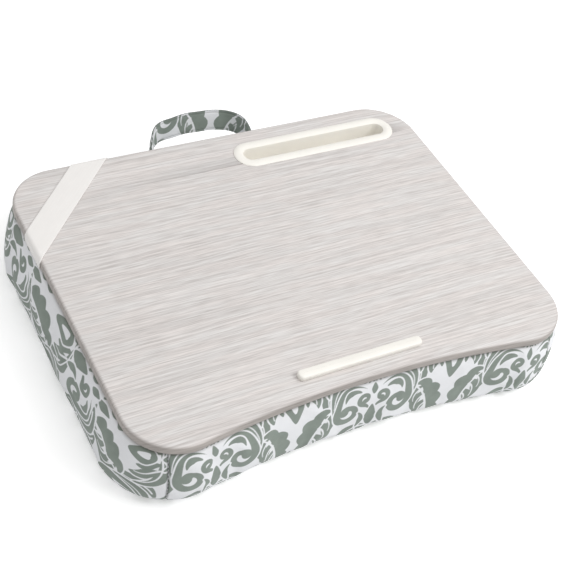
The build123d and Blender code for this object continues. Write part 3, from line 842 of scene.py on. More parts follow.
def wall_profile(cushion, t):
    """Height, share of the full belly and inset at lengths t up the wall: a quarter round
    foot pressed flat below, then the wall. Where t is None, the whole length up the wall
    and the length up to the bottom seam."""
    foot_points, wall_points = 60, 120
    turn = np.linspace(pi / 2, 0, foot_points)
    foot_z = cushion.foot * (1 - np.sin(turn)) - cushion.foot_cut
    foot_inset = cushion.foot * (1 - np.cos(turn))
    rise = np.linspace(foot_z[-1], cushion.height, wall_points)[1:]
    belly = belly_share(cushion, rise)
    z = np.concatenate([foot_z, rise])
    shares = np.concatenate([np.ones(foot_points), belly])
    inset = np.concatenate([foot_inset, cushion.tuck * (1 - belly) ** 3])
    out = cushion.side_belly * shares - inset
    run_up = np.concatenate([[0], np.cumsum(np.hypot(np.diff(out), np.diff(z)))])
    if t is None:
        return run_up[-1], np.interp(cushion.seam_height, z[:foot_points], run_up[:foot_points])
    return np.interp(t, run_up, z), np.interp(t, run_up, shares), np.interp(t, run_up, inset)


def cushion_ring(board, cushion, t, counts, skin=0.0):
    """Closed rings of the cushion's surface at lengths t up its profile, skin deep."""
    z, shares, inset = wall_profile(cushion, t)
    belly = level(shares)
    seam = cushion.seam_angle * (1 - cushion.seam_lean * belly)
    x, y = outline_rows(counts, tray_stretches(board, cushion, seam, belly, level(inset) + skin))
    return level_rings(x, y, np.maximum(z, 0.0))


def belly_counts(board, cushion, step):
    """Points for each stretch of the outline at the belly, about a step apart."""
    return stretch_counts(tray_stretches(board, cushion, cushion.seam_angle, 1, 0.0), step)


def surface_normals(points):
    """Outward unit normals of a closed grid, from its neighbours round and up it."""
    round_it = np.roll(points, -1, axis=1) - np.roll(points, 1, axis=1)
    up = np.gradient(points, axis=0)
    return unit(np.cross(round_it, up))


def settle(rest, held_rows, frames, spare):
    """How a coarse closed ring of cloth moves from its rest shape when beads press it out
    from inside: Blender's cloth with pressure and no gravity, its upper and lower rows
    held and its threads cut a little long, so that it swells and buckles between them."""
    faces = [grid_faces(rest, closed=True), *end_caps(rest)]
    piece = make_piece("settling_cloth", rest, faces, bpy.data.materials.new("settling"))
    held = np.zeros(rest.shape[:2], bool)
    held[held_rows] = True
    piece.vertex_groups.new(name="held").add(np.flatnonzero(held).tolist(), 1.0, "REPLACE")
    cloth = piece.modifiers.new("cloth", "CLOTH")
    configured(
        cloth.settings, quality=6, mass=0.25, tension_stiffness=22.0, compression_stiffness=22.0,
        shear_stiffness=8.0, bending_stiffness=0.35, air_damping=4.0, use_pressure=True,
        uniform_pressure_force=4.0, shrink_min=-spare, vertex_group_mass="held",
    )
    cloth.settings.effector_weights.gravity = 0.0
    cloth.point_cache.frame_end = frames
    scene = bpy.context.scene
    for number in range(1, frames + 1):
        scene.frame_set(number)
    settled = piece.evaluated_get(bpy.context.evaluated_depsgraph_get())
    flat = np.empty(rest.size, np.float32)
    settled.data.vertices.foreach_get("co", flat)
    scene.frame_set(1)
    mesh = piece.data
    bpy.data.objects.remove(piece)
    bpy.data.meshes.remove(mesh)
    return flat.reshape(rest.shape).astype(float) - rest


def spread(field, places_t, places_s, fine_t, fine_s, around):
    """A field on coarse rows and columns, read on fine ones: straight lines between its
    points, then a running mean as wide as a coarse step in both directions. around is the
    length of the closed ring."""
    places_s = np.concatenate([places_s, [around]])
    field = np.concatenate([field, field[:, :1]], axis=1)
    across = np.stack([
        [np.interp(fine_s, places_s, row[:, axis]) for row in field] for axis in range(3)
    ], axis=-1)
    k = np.clip(np.searchsorted(places_t, fine_t) - 1, 0, len(places_t) - 2)
    share_up = ((fine_t - places_t[k]) / (places_t[k + 1] - places_t[k]))[:, None, None]
    fine = across[k] * (1 - share_up) + across[k + 1] * share_up
    wide = max(3, int(len(fine_s) / len(places_s)) | 1)
    tall = max(3, int(len(fine_t) / len(places_t)) | 1)
    fine = running_mean(fine, wide, 1, "wrap")
    return running_mean(fine, tall, 0, "edge")


def running_mean(field, width, axis, mode):
    """Mean over an odd number of neighbours along one axis."""
    pads = [(0, 0)] * field.ndim
    pads[axis] = (width // 2 + 1, width // 2)
    total = np.cumsum(np.pad(field, pads, mode=mode), axis=axis)
    high = np.take(total, range(width, total.shape[axis]), axis=axis)
    low = np.take(total, range(0, total.shape[axis] - width), axis=axis)
    return (high - low) / width


def ring_lengths(ring):
    """Length round a closed ring from its first point to each point, and all the way."""
    steps = np.linalg.norm(np.diff(ring, axis=0, append=ring[:1]), axis=1)
    return np.concatenate([[0], np.cumsum(steps)[:-1]]), steps.sum()


def settled_shift(board, cushion, top):
    """How far the settled cloth moves from the plain form, on coarse rows and columns,
    with their lengths up it and round it and the length all round."""
    rows, held, coarse_step = 15, [0, 1, -1], 6 * mm
    frames, spare = 24, 0.035
    start_inset, ripple_depth, quick_depth = 1.0 * mm, 0.15 * mm, 0.8 * mm
    short_wave, long_wave, most_inward, calm_run = 11 * mm, 27 * mm, 0.6 * mm, 14 * mm
    t = np.linspace(0, top, rows)
    form = cushion_ring(board, cushion, t, belly_counts(board, cushion, coarse_step))
    s, around = ring_lengths(form[rows // 2])
    normal = surface_normals(form)
    ripple = (np.sin(s / short_wave) + np.sin(s / long_wave + 1.0))[None, :, None]
    start = form - normal * start_inset + ripple_depth * ripple * normal
    moved = settle(start, held, frames, spare) + start - form
    moved[held] = 0.0
    inward = (moved * normal).sum(axis=-1, keepdims=True)
    moved += normal * np.maximum(-most_inward - inward, 0)
    moved *= np.clip((top - t) / calm_run, 0, 1)[:, None, None] ** 0.7
    far = np.linalg.norm(moved, axis=-1, keepdims=True)
    moved *= np.minimum(1.0, cushion.puff / np.maximum(far, 1e-9))
    return moved, t, s, around


def draw_in_seams(points, starts, t, s, around):
    """The surface with a valley along each corner seam, and puckers that slant away from
    it on both sides and die out along the cloth."""
    valley_depth, valley_width = 1.5 * mm, 1.3 * mm
    pucker_depth, pucker_reach, pucker_pitch, slant = 0.4 * mm, 5 * mm, 8.5 * mm, 1.3
    seams = s[starts[:4]]
    gap = np.abs(s[:, None] - seams[None, :])
    gap = np.minimum(gap, around - gap)
    nearest = np.argmin(gap, axis=1)
    gap = gap.min(axis=1)
    side = np.sign(((s - seams[nearest] + around / 2) % around) - around / 2)
    calm = np.sin(pi * np.clip(t / t[-1], 0, 1))[:, None] ** 0.5
    valley = -valley_depth * line_at(gap, 0, valley_width)
    swirl = np.sin(2 * pi * (t[:, None] / pucker_pitch) + slant * side[None, :] + nearest[None, :])
    pucker = pucker_depth * np.exp(-gap / pucker_reach)[None, :] * swirl
    shift = (valley[None, :] + pucker)[..., None] * calm[..., None]
    points = points + surface_normals(points) * shift
    points[..., 2] = np.maximum(points[..., 2], 0.0)
    return points


def cushion_surface(board, cushion):
    """The whole closed wall and foot as a fine grid, settled and drawn in at its corner
    seams. Gives its points, the row of the bottom seam, the columns where the panels
    start, the lengths up (t) and round it (s), and the length all round."""
    top, seam = wall_profile(cushion, None)
    counts = belly_counts(board, cushion, cushion.mesh_step)
    t = np.linspace(0, top, round(top / cushion.mesh_step))
    points = cushion_ring(board, cushion, t, counts)
    belly_row = int(np.argmin(np.abs(t - 0.45 * top)))
    s, around = ring_lengths(points[belly_row])
    starts = np.concatenate([[0], np.cumsum(counts)[2::3]])
    moved, coarse_t, coarse_s, coarse_around = settled_shift(board, cushion, top)
    points = points + spread(moved, coarse_t, coarse_s * around / coarse_around, t, s, around)
    points = draw_in_seams(points, starts, t, s, around)
    return points, int(np.searchsorted(t, seam)), starts, t, s, around


def hem_rows(points, cushion):
    """Rows that turn the cloth's upper edge in under the board, towards its middle."""
    last = points[-1]
    inward = unit(last * (-1, -1, 0))
    path = ((0.06, 0.10), (0.2, 0.22), (0.55, 0.3), (1.0, 0.3))
    return np.stack([last + inward * cushion.hem * reach - (0, 0, drop * mm) for reach, drop in path])


# How far the print is shifted on each piece that is cut from the cloth
panel_names = ("front", "right", "back", "left")
panel_across = np.array([0, 31, 52, 54]) * mm
panel_up = np.array([0, 18, 41, 26]) * mm
bottom_across = 20 * mm
band_across, band_up, lining_up = 22 * mm, 66 * mm, 47 * mm

surface = {}


def settled_surface(scene):
    """The cushion's surface, worked out once for the panels, the bottom and the seams."""
    if "cushion" not in surface:
        surface["cushion"] = cushion_surface(scene.tray_board, scene.tray_cushion)
    return surface["cushion"]


def channel_roof(cushion, points):
    """Height of the underside over the table: a channel that is round across and runs
    out along a long arc towards the front and the back, pinched along its middle."""
    crest = cushion.channel_depth * (1 - (2 * points[..., 1] / cushion.channel_length) ** 2)
    across = 1 - np.abs(2 * points[..., 0] / cushion.channel_width) ** 1.6
    return np.where(crest > 0, np.maximum(crest, 0) * np.maximum(across, 0), 0.0)


def fan(ring, count):
    """Rows from a middle line out to the ring round it. The line runs front to back, 0.55
    as long as the ring is deep."""
    middle_line = ring * (0, 0.55, 1)
    shares = np.linspace(0, 1, count)[:, None, None]
    return middle_line * (1 - shares) + ring * shares


class TRAY_OT_cushion_walls(bpy.types.Operator):
    """Makes the four printed panels of the cushion's wall as grids of the profile carried
    round the tray's outline, settled by the cloth solver. The two side panels are cut from
    the cloth turned a quarter"""

    bl_idname = "tray.cushion_walls"
    bl_label = "Cushion walls"

    def execute(self, context):
        scene = context.scene
        cloth_print = scene.tray_print
        points, first, starts, t, s, around = settled_surface(scene)
        field = damask_field(cloth_print)
        hem = hem_rows(points, scene.tray_cushion)
        wall = np.concatenate([points[first:], hem])
        wall = np.concatenate([wall, wall[:, :1]], axis=1)
        up = np.concatenate([t[first:], t[-1] + np.linalg.norm(hem - points[-1], axis=-1).mean(axis=1)])
        s = np.append(s, around)
        seam_width, shade_below, shade_run = 1.1 * mm, 6 * mm, 4.5 * mm
        # painted shade: the cloth is darkened up towards the hem, under the board's overhang
        hem_shade = np.clip((up - t[-1] + shade_below) / shade_run, 0, 1)[:, None] ** 1.5
        for number, name in enumerate(panel_names):
            columns = slice(starts[number], starts[number + 1] + 1)
            cut = wall[:, columns]
            middle = (s[starts[number]] + s[starts[number + 1]]) / 2
            across, along = np.meshgrid(s[columns] - middle, up)
            print_s = across - (panel_across[number] + cloth_print.front_phase)
            print_t = along - (panel_up[number] + cloth_print.height_phase)
            turned = name in ("right", "left")
            distance = field.at(-print_t, print_s) if turned else field.at(print_s, print_t)
            # painted shade: a dark line down each corner seam, joined with the shade under the board,
            # goes into the crease attribute
            ends = np.minimum(across - across.min(), across.max() - across)
            crease = np.maximum(line_at(ends, 0, seam_width), 0.8 * hem_shade)
            piece = make_piece(
                f"cushion_{name}_panel", cut, [grid_faces(cut)], damask_cloth(cloth_print),
                np.stack([across, along], axis=-1), {"print_mm": distance, "crease": crease},
            )
            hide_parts(f"cover_{name}")
            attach(piece, "desk")
        return {"FINISHED"}


class TRAY_OT_cushion_bottom(bpy.types.Operator):
    """Makes the cushion's bottom: rings from the bottom seam inwards to the channel's
    middle line, lifted by the channel"""

    bl_idname = "tray.cushion_bottom"
    bl_label = "Cushion bottom"

    def execute(self, context):
        scene = context.scene
        cloth_print = scene.tray_print
        points, first = settled_surface(scene)[:2]
        foot = points[first % 2:first + 1:2, ::2]
        inner = fan(foot[0], count=90)
        inner[..., 2] = channel_roof(scene.tray_cushion, inner)
        cloth = np.concatenate([inner[:-1], foot])
        distance = damask_field(cloth_print).at(cloth[..., 0] - bottom_across, cloth[..., 1])
        piece = make_piece(
            "cushion_bottom", cloth, [grid_faces(cloth, closed=True)],
            damask_cloth(cloth_print), cloth[..., :2], {"print_mm": distance},
        )
        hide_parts("cover_bottom")
        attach(piece, "desk")
        return {"FINISHED"}


class TRAY_OT_bead_bags(bpy.types.Operator):
    """Makes the two bead bags: the cushion's own rings a little inside its cloth, each cut
    off flat at the divider and closed above and below"""

    bl_idname = "tray.bead_bags"
    bl_label = "Bead bags"

    def execute(self, context):
        scene = context.scene
        board, cushion = scene.tray_board, scene.tray_cushion
        step, rows, cap_rows = 5 * mm, 22, 14
        skin, clear, divider = 3.5 * mm, 0.2 * mm, 0.8 * mm
        top = wall_profile(cushion, None)[0]
        counts = belly_counts(board, cushion, step)
        body = cushion_ring(board, cushion, np.linspace(0, top, rows), counts, skin)
        low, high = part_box("bead_bag_left")
        lift = (body[..., 2] - body[..., 2].min()) / np.ptp(body[..., 2])
        body[..., 2] = low.z + clear + lift * (high.z - low.z - clear)
        floor = fan(body[0], cap_rows)
        floor[..., 2] += channel_roof(cushion, floor)
        ceiling = fan(body[-1], cap_rows)[::-1]
        whole = np.concatenate([floor[:-1], body, ceiling[1:]])
        cloth = bead_bag_cloth()
        waist = body[rows // 2 - 1]
        front = int(np.argmin(np.abs(waist[:, 0]) + (waist[:, 1] > 0)))
        for side, name in ((-1, "left"), (1, "right")):
            cut = whole.copy()
            beyond = side * cut[..., 0] < divider
            held_back = np.maximum(cut[..., 1], cut[:, front:front + 1, 1])
            cut[..., 0] = np.where(beyond, side * divider, cut[..., 0])
            cut[..., 1] = np.where(beyond, held_back, cut[..., 1])
            cut[..., 2] = np.maximum(cut[..., 2], body[0, 0, 2] + channel_roof(cushion, cut))
            cut = self.room_for_pocket(cut)
            piece = make_piece(f"bead_bag_{name}_filled", cut, [grid_faces(cut, closed=True)], cloth)
            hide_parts(f"bead_bag_{name}")
            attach(piece, "desk")
        return {"FINISHED"}

    def room_for_pocket(self, cut):
        """Presses the bag down where the slot's pocket hangs into it."""
        centre, half = (insert_low + insert_high) / 2, (insert_high - insert_low) / 2
        x, y, z = cut[..., 0], cut[..., 1], cut[..., 2]
        inside_x = 1 - np.clip(np.abs(x - centre.x) / (1.06 * half.x), 0, 1) ** 8
        inside_y = 1 - np.clip(np.abs(y - centre.y) / (1.2 * half.y), 0, 1) ** 4
        sink = np.clip(2.5 * inside_x * inside_y, 0, 1)
        limit = insert_low.z - 0.8 * mm
        cut[..., 2] = np.where(z > limit, z + (limit - z) * sink, z)
        return cut


class TRAY_OT_corner_stitches(bpy.types.Operator):
    """Sews the four corner seams: short rounded stitches laid down each seam, every one a
    small spindle turned about its own line"""

    bl_idname = "tray.corner_stitches"
    bl_label = "Corner stitches"

    def execute(self, context):
        scene = context.scene
        points, first, starts = settled_surface(scene)[:3]
        spacing, covered, proud, sides = 4.2 * mm, 0.62, 0.05 * mm, 6
        pitch = round(spacing / scene.tray_cushion.mesh_step)
        rows = np.arange(first + 4, len(points) - pitch - 2, pitch)
        reach = int(covered * pitch)
        normal = surface_normals(points)
        raised = (points + proud * normal)[:, starts[:4]]
        head, tail = raised[rows + reach].reshape(-1, 3), raised[rows].reshape(-1, 3)
        out = normal[rows][:, starts[:4]].reshape(-1, 3)
        aside = unit(np.cross(out, head - tail))
        shares = np.array([0.0, 0.12, 0.5, 0.88, 1.0])
        fat = np.array([0.0, 0.3, 0.34, 0.3, 0.0]) * mm
        turn = np.arange(sides) * 2 * pi / sides
        line = tail[:, None, :] + (head - tail)[:, None, :] * shares[None, :, None]
        round_out = out[:, None, None, :] * np.cos(turn)[None, None, :, None]
        round_aside = aside[:, None, None, :] * np.sin(turn)[None, None, :, None]
        spindle = line[:, :, None, :] + (round_out + round_aside) * fat[None, :, None, None]
        one = grid_faces(spindle[0], closed=True)[:, ::-1]
        first_points = len(fat) * sides * np.arange(len(spindle))
        faces = (one[None] + first_points[:, None, None]).reshape(-1, 4)
        thread = plain_weave("polyester_thread", linear("#D5D6D8"), linear("#B4B6B9"), 0.6 * mm)
        piece = make_piece("corner_seam_stitches", spindle, [faces], thread)
        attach(piece, "desk")
        return {"FINISHED"}


# The board

class TRAY_OT_board_film(bpy.types.Operator):
    """Makes the wood-grain film: an edge profile carried round the tray's outline and a
    flat top with a hole for the phone slot. Its grain runs on outwards down the edge"""

    bl_idname = "tray.board_film"
    bl_label = "Board film"

    def execute(self, context):
        scene = context.scene
        board, cushion, moulding = scene.tray_board, scene.tray_cushion, scene.tray_moulding
        step, strip, hole_columns, hole_room = 2.5 * mm, 1.2 * mm, 96, 0.3 * mm
        round_inset, round_z = round_over(board.edge_round, board.top)
        inset = np.concatenate([[0.0, 0.0], round_inset])
        z = np.concatenate([[board.film_foot, board.film_foot + strip], round_z])
        seam = cushion.seam_angle
        counts = stretch_counts(tray_stretches(board, cushion, seam, 0, 0.0), step)
        x, y = outline_rows(counts, tray_stretches(board, cushion, seam, 0, level(inset)))
        edge = level_rings(x, y, z)
        rows, columns = edge.shape[:2]
        radius = moulding.pocket_width / 2 + moulding.wall + hole_room
        hole = slot_rings(moulding, [radius], [board.top], hole_columns)[0]
        loops = [[Vector(point) for point in edge[-1]], [Vector(point) for point in hole[::-1]]]
        filled = np.array(tessellate_polygon(loops))
        order = np.concatenate([
            (rows - 1) * columns + np.arange(columns), rows * columns + np.arange(hole_columns)[::-1],
        ])
        points = np.concatenate([edge.reshape(-1, 3), hole])
        top_faces = order[filled]
        a, b, c = (points[top_faces[:, k]] for k in range(3))
        down = np.cross(b - a, c - a)[:, 2] < 0
        top_faces[down] = top_faces[down][:, ::-1]
        unrolled = points[:, :2].copy()
        drop = board.top - points[:, 2]
        past_top = np.abs(unrolled) > (board.width / 2.2, board.depth / 2.6)
        unrolled += np.sign(unrolled) * drop[:, None] * past_top
        # painted shade: the edge attribute runs from 0 at the top of the round to 1 down the edge,
        # where the film is drawn darker
        around = np.clip(drop / (0.6 * board.edge_round), 0, 1)
        piece = make_piece(
            "board_film", points, [grid_faces(edge, closed=True), top_faces],
            printed_wood_film(board), unrolled, {"edge": around},
        )
        configured(piece.modifiers.new("film", "SOLIDIFY"), thickness=board.film, offset=-1.0)
        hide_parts("board_laminate")
        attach(piece, "desk")
        return {"FINISHED"}


class TRAY_OT_slot_insert(bpy.types.Operator):
    """Makes the phone slot insert: one closed profile, from the pocket's floor over the
    domed flange and back under it, carried round a ring with straight sides"""

    bl_idname = "tray.slot_insert"
    bl_label = "Phone slot insert"

    def execute(self, context):
        scene = context.scene
        board, moulding = scene.tray_board, scene.tray_moulding
        half, wall, flange = moulding.pocket_width / 2, moulding.wall, moulding.flange
        foot, floor = insert_low.z, insert_low.z + wall
        lip = board.top + moulding.flange_lip
        soft, small, seat = 1.2 * mm, 0.35 * mm, board.top + 0.05 * mm
        throat, side = board.top - 6 * mm, board.top + 0.4 * mm
        dome = np.linspace(-1, 1, 17)
        dome_out = flange / 2 + dome * (flange / 2 - small)
        dome_rise = moulding.flange_lip + (moulding.flange_rise - moulding.flange_lip) * (1 - dome**2)
        outline = np.concatenate([
            [(-half, floor), (-0.6 * half, floor)],
            arc_points(-soft, floor + soft, soft, sweep_arc(-90, 0, 6)),
            [(0.0, throat), (0.0, lip - small)],
            arc_points(small, lip - small, small, sweep_arc(180, 90, 5)),
            np.column_stack([dome_out, board.top + dome_rise]),
            [(flange, side), (flange, seat), (wall, seat), (wall, foot + soft)],
            [(wall - 0.3 * soft, foot + 0.3 * soft), (wall - soft, foot), (-half, foot)],
        ])
        points = slot_rings(moulding, half + outline[:, 0], outline[:, 1], columns=160)
        faces = grid_faces(points, closed=True)[:, ::-1]
        piece = make_piece("phone_slot_moulding", points, [faces], moulded_plastic(moulding))
        weld(piece)
        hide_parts("phone_slot_insert")
        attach(piece, "desk")
        return {"FINISHED"}


def moulded_plastic(moulding):
    """The mouldings' one material, made on first use."""
    return bpy.data.materials.get("moulded_abs") or moulded_abs(moulding)


def weld(piece, angle=35):
    """Merges doubled points and splits the shading at edges sharper than an angle."""
    configured(piece.modifiers.new("merge", "WELD"), merge_threshold=0.01 * mm)
    configured(piece.modifiers.new("crease", "EDGE_SPLIT"), split_angle=radians(angle))


class TRAY_OT_device_ledge(bpy.types.Operator):
    """Makes the device ledge: a rounded rectangle carried up a profile with a soft edge
    and closed by a slightly crowned top"""

    bl_idname = "tray.device_ledge"
    bl_label = "Device ledge"

    def execute(self, context):
        moulding = context.scene.tray_moulding
        size, centre = ledge_high - ledge_low, (ledge_high + ledge_low) / 2
        soft, crown, chamfer, least = moulding.ledge_round, 0.35 * mm, 0.4 * mm, 0.02 * mm
        crest_drop, corner_points = 0.08 * mm, 9
        round_inset, round_z = round_over(soft, ledge_high.z - crown)
        inset = np.concatenate([[chamfer, 0.0, 0.0], round_inset, [0.6 * size.y / 2, size.y / 2]])
        z = np.concatenate([
            [ledge_low.z, ledge_low.z + chamfer, ledge_high.z - soft - crown], round_z,
            [ledge_high.z - crest_drop, ledge_high.z],
        ])
        half_x, half_y = level(size.x / 2 - inset), np.maximum(level(size.y / 2 - inset), least)
        corner = np.minimum(np.maximum(level(moulding.ledge_corner - inset), least), half_y)
        angle = [np.linspace(k, k + 0.5, corner_points) for k in (-0.5, 0.0, 0.5, 1.0)]
        angle = np.concatenate(angle) * pi
        sign_x = np.repeat([1, 1, -1, -1], corner_points)
        sign_y = np.repeat([-1, 1, 1, -1], corner_points)
        x = centre.x + sign_x * (half_x - corner) + corner * np.cos(angle)
        y = centre.y + sign_y * (half_y - corner) + corner * np.sin(angle)
        points = level_rings(x, y, z)
        piece = make_piece(
            "device_ledge_moulding", points, [grid_faces(points, closed=True), end_caps(points)[0]],
            moulded_plastic(moulding),
        )
        weld(piece, 50)
        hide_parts("device_ledge")
        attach(piece, "desk")
        return {"FINISHED"}


class TRAY_OT_corner_strap(bpy.types.Operator):
    """Makes the elastic strap: lines across the back left corner, side by side, each
    carried down over both board edges and in under the board"""

    bl_idname = "tray.corner_strap"
    bl_label = "Elastic corner strap"

    def execute(self, context):
        scene = context.scene
        board, strap = scene.tray_board, scene.tray_strap
        left, back = -board.width / 2, board.depth / 2
        start = np.array([left + strap.side_setback, back])
        end = np.array([left, back - strap.back_setback])
        along = unit(end - start)
        across = np.array([-along[1], along[0]])
        lines, room, fold, swell_up, end_run = 21, 0.15 * mm, 0.8 * mm, 0.25 * mm, 2 * mm
        offsets = np.linspace(-strap.width / 2, strap.width / 2, lines)
        half = strap.thickness / 2
        air = room + half
        low, high = board.underside - air, board.top + air
        tight, soft = fold + half, board.edge_round + air
        profile = np.concatenate([
            np.column_stack([-np.linspace(strap.tuck, end_run, 5), np.full(5, low)]),
            arc_points(air - tight, low + tight, tight, sweep_arc(-90, 0, 5)),
            arc_points(air - soft, high - soft, soft, sweep_arc(0, 90, 7)),
        ])
        past, height = profile.T
        inwards, outwards = np.maximum(-past, 0)[:, None], np.maximum(past, 0)[:, None]
        flat = np.linspace(0, 1, 60)[1:-1]
        grids = []
        for offset in offsets:
            place = start + offset * across
            back_point = place + along * (back - place[1]) / along[1]
            left_point = place + along * (left - place[0]) / along[0]
            first = back_point + along * inwards / abs(along[1]) + outwards * (0, 1)
            last = left_point - along * inwards / abs(along[0]) - outwards * (1, 0)
            bridge = first[-1] + (last[-1] - first[-1]) * flat[:, None]
            bow = swell_up * np.sin(pi * flat) * (1 - (2 * offset / strap.width) ** 2)
            line = np.concatenate([first, bridge, last[::-1]])
            z = np.concatenate([height, high + bow, height[::-1]])
            grids.append(np.column_stack([line, z]))
        points = np.stack(grids)
        run_along = lengths_along(points[lines // 2])
        uv = np.stack(np.meshgrid(run_along, offsets + strap.width / 2), axis=-1)
        faces = grid_faces(points)[:, ::-1]
        piece = make_piece("corner_strap_elastic", points, [faces], woven_elastic(strap), uv)
        configured(piece.modifiers.new("web", "SOLIDIFY"), thickness=strap.thickness, offset=0.0)
        configured(
            piece.modifiers.new("selvedge", "BEVEL"), width=0.3 * mm, segments=2,
            limit_method="ANGLE", angle_limit=radians(60),
        )
        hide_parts("elastic_strap")
        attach(piece, "desk")
        return {"FINISHED"}


# The handle

def back_wall(board, cushion, z):
    """How far back the cushion's wall stands at a height, on its straight stretch."""
    belly = belly_share(cushion, z)
    return board.depth / 2 + cushion.back_belly * belly - cushion.tuck * (1 - belly) ** 3


def handle_line(handle, count):
    """Places along half of the bow, from its root to its middle: a straight root, a round
    corner and a long arc that meets it in tangency. Gives x and the reach behind."""
    half = handle.span / 2
    corner_x = half - handle.corner
    bow = (corner_x**2 + handle.reach**2 - handle.corner**2) / (2 * (handle.reach - handle.corner))
    meet = np.arctan2(bow - handle.reach, corner_x)
    line = np.concatenate([
        [(half, -5.5 * mm), (half, -2.5 * mm)],
        arc_points(corner_x, 0, handle.corner, np.linspace(0, meet, 30)),
        arc_points(0, handle.reach - bow, bow, np.linspace(meet, pi / 2, 30)[1:]),
    ])
    along = lengths_along(line)
    places = np.linspace(0, along[-1], count)
    return np.interp(places, along, line[:, 0]), np.interp(places, along, line[:, 1]), places


class TRAY_OT_handle(bpy.types.Operator):
    """Makes the cloth handle: a flat rounded section carried along the bow, leaning back
    in its middle and gathered into pleats at its two roots, and the two sewn end tabs"""

    bl_idname = "tray.handle"
    bl_label = "Cloth handle"

    def execute(self, context):
        scene = context.scene
        handle, cloth_print = scene.tray_handle, scene.tray_print
        gathered, crown = 26 * mm, 1.5 * mm
        fold_depth, wave_depth, wave_length = 1.5 * mm, 0.5 * mm, 31 * mm
        seam_place = 0.8
        x, reach, places = handle_line(handle, 90)
        x = np.concatenate([x, -x[-2::-1]])
        reach = np.concatenate([reach, reach[-2::-1]])
        along = np.concatenate([places, 2 * places[-1] - places[-2::-1]])
        total = along[-1]
        open_up = np.clip(np.minimum(along, total - along) / gathered, 0, 1)
        open_up = open_up**2 * (3 - 2 * open_up)
        middle = np.sin(pi * along / total)
        behind = np.maximum(reach, 0)
        y = hinge_y + np.where(reach > 0, behind * cos(handle.rise), reach)
        z = hinge_z + behind * sin(handle.rise) + crown * middle**2
        line = np.column_stack([x, y, z])
        forward = unit(np.gradient(line, axis=0))
        lean = handle.lean * middle**1.5
        upright = np.column_stack([0 * lean, np.sin(lean), np.cos(lean)])
        upright = unit(upright - forward * (upright * forward).sum(axis=1, keepdims=True))
        face = np.cross(upright, forward)
        width = handle.root_width + (handle.width - handle.root_width) * open_up
        turn = np.linspace(0, 2 * pi, 64, endpoint=False)
        wide = np.sign(np.cos(turn)) * np.abs(np.cos(turn)) ** 0.55
        deep = np.sign(np.sin(turn)) * np.abs(np.sin(turn)) ** 0.5
        seam = 1 - 0.45 * line_at(np.abs(wide), seam_place, 0.06)
        pleat = np.sin(3.2 * pi * wide + 0.6)
        across = width[:, None] / 2 * wide[None, :]
        fold = fold_depth * pleat[None, :] * (1 - open_up)[:, None]
        wave = wave_depth * np.sin(2 * pi * along / wave_length)[:, None] * wide[None, :] ** 2
        off = handle.thickness / 2 * deep[None, :] * seam[None, :] + fold + wave
        points = line[:, None, :] + upright[:, None, :] * across[..., None]
        points = points + face[:, None, :] * off[..., None]
        s = np.broadcast_to(along[:, None] - total / 2, across.shape)
        inside = np.where(deep > 0, 0.0, lining_up)[None, :]
        t = wide[None, :] * handle.width / 2 + inside + 0 * s
        distance = damask_field(cloth_print).at(s + band_across, t + band_up)
        # painted shade: the band is darkened along both folded edges and its stitch lines, through the
        # crease attribute
        rim = np.clip((np.abs(wide) - 0.93) / 0.07, 0, 1)
        rim = np.maximum(rim, 0.5 * line_at(np.abs(wide), seam_place, 0.05))
        piece = make_piece(
            "handle_strap", points, [grid_faces(points, closed=True), *end_caps(points)],
            damask_cloth(cloth_print), np.stack([s, t], axis=-1),
            {"print_mm": distance, "crease": 0.75 * rim[None, :] + 0 * s},
        )
        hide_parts("handle_band")
        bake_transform(piece)
        for name in ("left", "right"):
            self.sew_tab(context, name)
        return {"FINISHED"}

    def sew_tab(self, context, name):
        """A folded end sewn flat to the back panel: a rounded square bent over the wall,
        thick in its middle and stitched down round its edge."""
        scene = context.scene
        board, cushion, cloth_print = scene.tray_board, scene.tray_cushion, scene.tray_print
        low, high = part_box(f"handle_end_{name}")
        centre, half = (low + high) / 2, (high - low) / 2
        seam_place, seam_sink = 0.82, 0.55 * mm
        thick, clear, rim = 1.9 * mm, 0.35 * mm, 0.5 * mm
        ring = np.linspace(0, 1, 15)
        turn = np.linspace(0, 2 * pi, 56, endpoint=False)
        square = (np.abs(np.cos(turn)) ** 5 + np.abs(np.sin(turn)) ** 5) ** (-1 / 5)
        x = centre.x + half.x * ring[:, None] * (square * np.cos(turn))[None, :]
        z = centre.z + half.z * ring[:, None] * (square * np.sin(turn))[None, :]
        body = (1 - ring**7)[:, None] * thick
        stitch = -seam_sink * line_at(ring, seam_place, 0.035)[:, None]
        y = back_wall(board, cushion, z) + clear + body + stitch
        front = np.stack([x, y, z], axis=-1)
        points = np.concatenate([front, front[-1:] - (0, rim, 0)])
        # painted shade: the tab is darkened round its edge, where it meets the wall, and along its
        # stitch line, through the crease attribute
        dark = np.clip((ring - 0.93) / 0.06, 0, 1)
        dark = 0.8 * np.append(np.maximum(dark, 0.5 * line_at(ring, seam_place, 0.03)), 1.0)
        distance = damask_field(cloth_print).at(points[..., 0], points[..., 2])
        piece = make_piece(
            f"handle_tab_{name}", points, [grid_faces(points, closed=True)],
            damask_cloth(cloth_print), points[..., [0, 2]],
            {"print_mm": distance, "crease": np.broadcast_to(dark[:, None], distance.shape)},
        )
        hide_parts(f"handle_end_{name}")
        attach(piece, "desk")


class TRAY_OT_carried_parts(bpy.types.Operator):
    """Gives the parts that stay as they were built their own finishes"""

    bl_idname = "tray.carried_parts"
    bl_label = "Core, screws, staples and inner cloth"

    def execute(self, context):
        steel = zinc_plated_steel()
        ticking = plain_weave("cotton_ticking", linear("#E9E4DA"), linear("#D8D2C6"), 1.2 * mm)
        finishes = {
            "board_core": fibreboard(),
            "ledge_screws": steel,
            "strap_staples": steel,
            "cover_staples": steel,
            "top_ticking": ticking,
            "centre_divider": ticking,
        }
        for name, material in finishes.items():
            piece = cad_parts[name]
            piece.data.materials.clear()
            piece.data.materials.append(material)
        return {"FINISHED"}


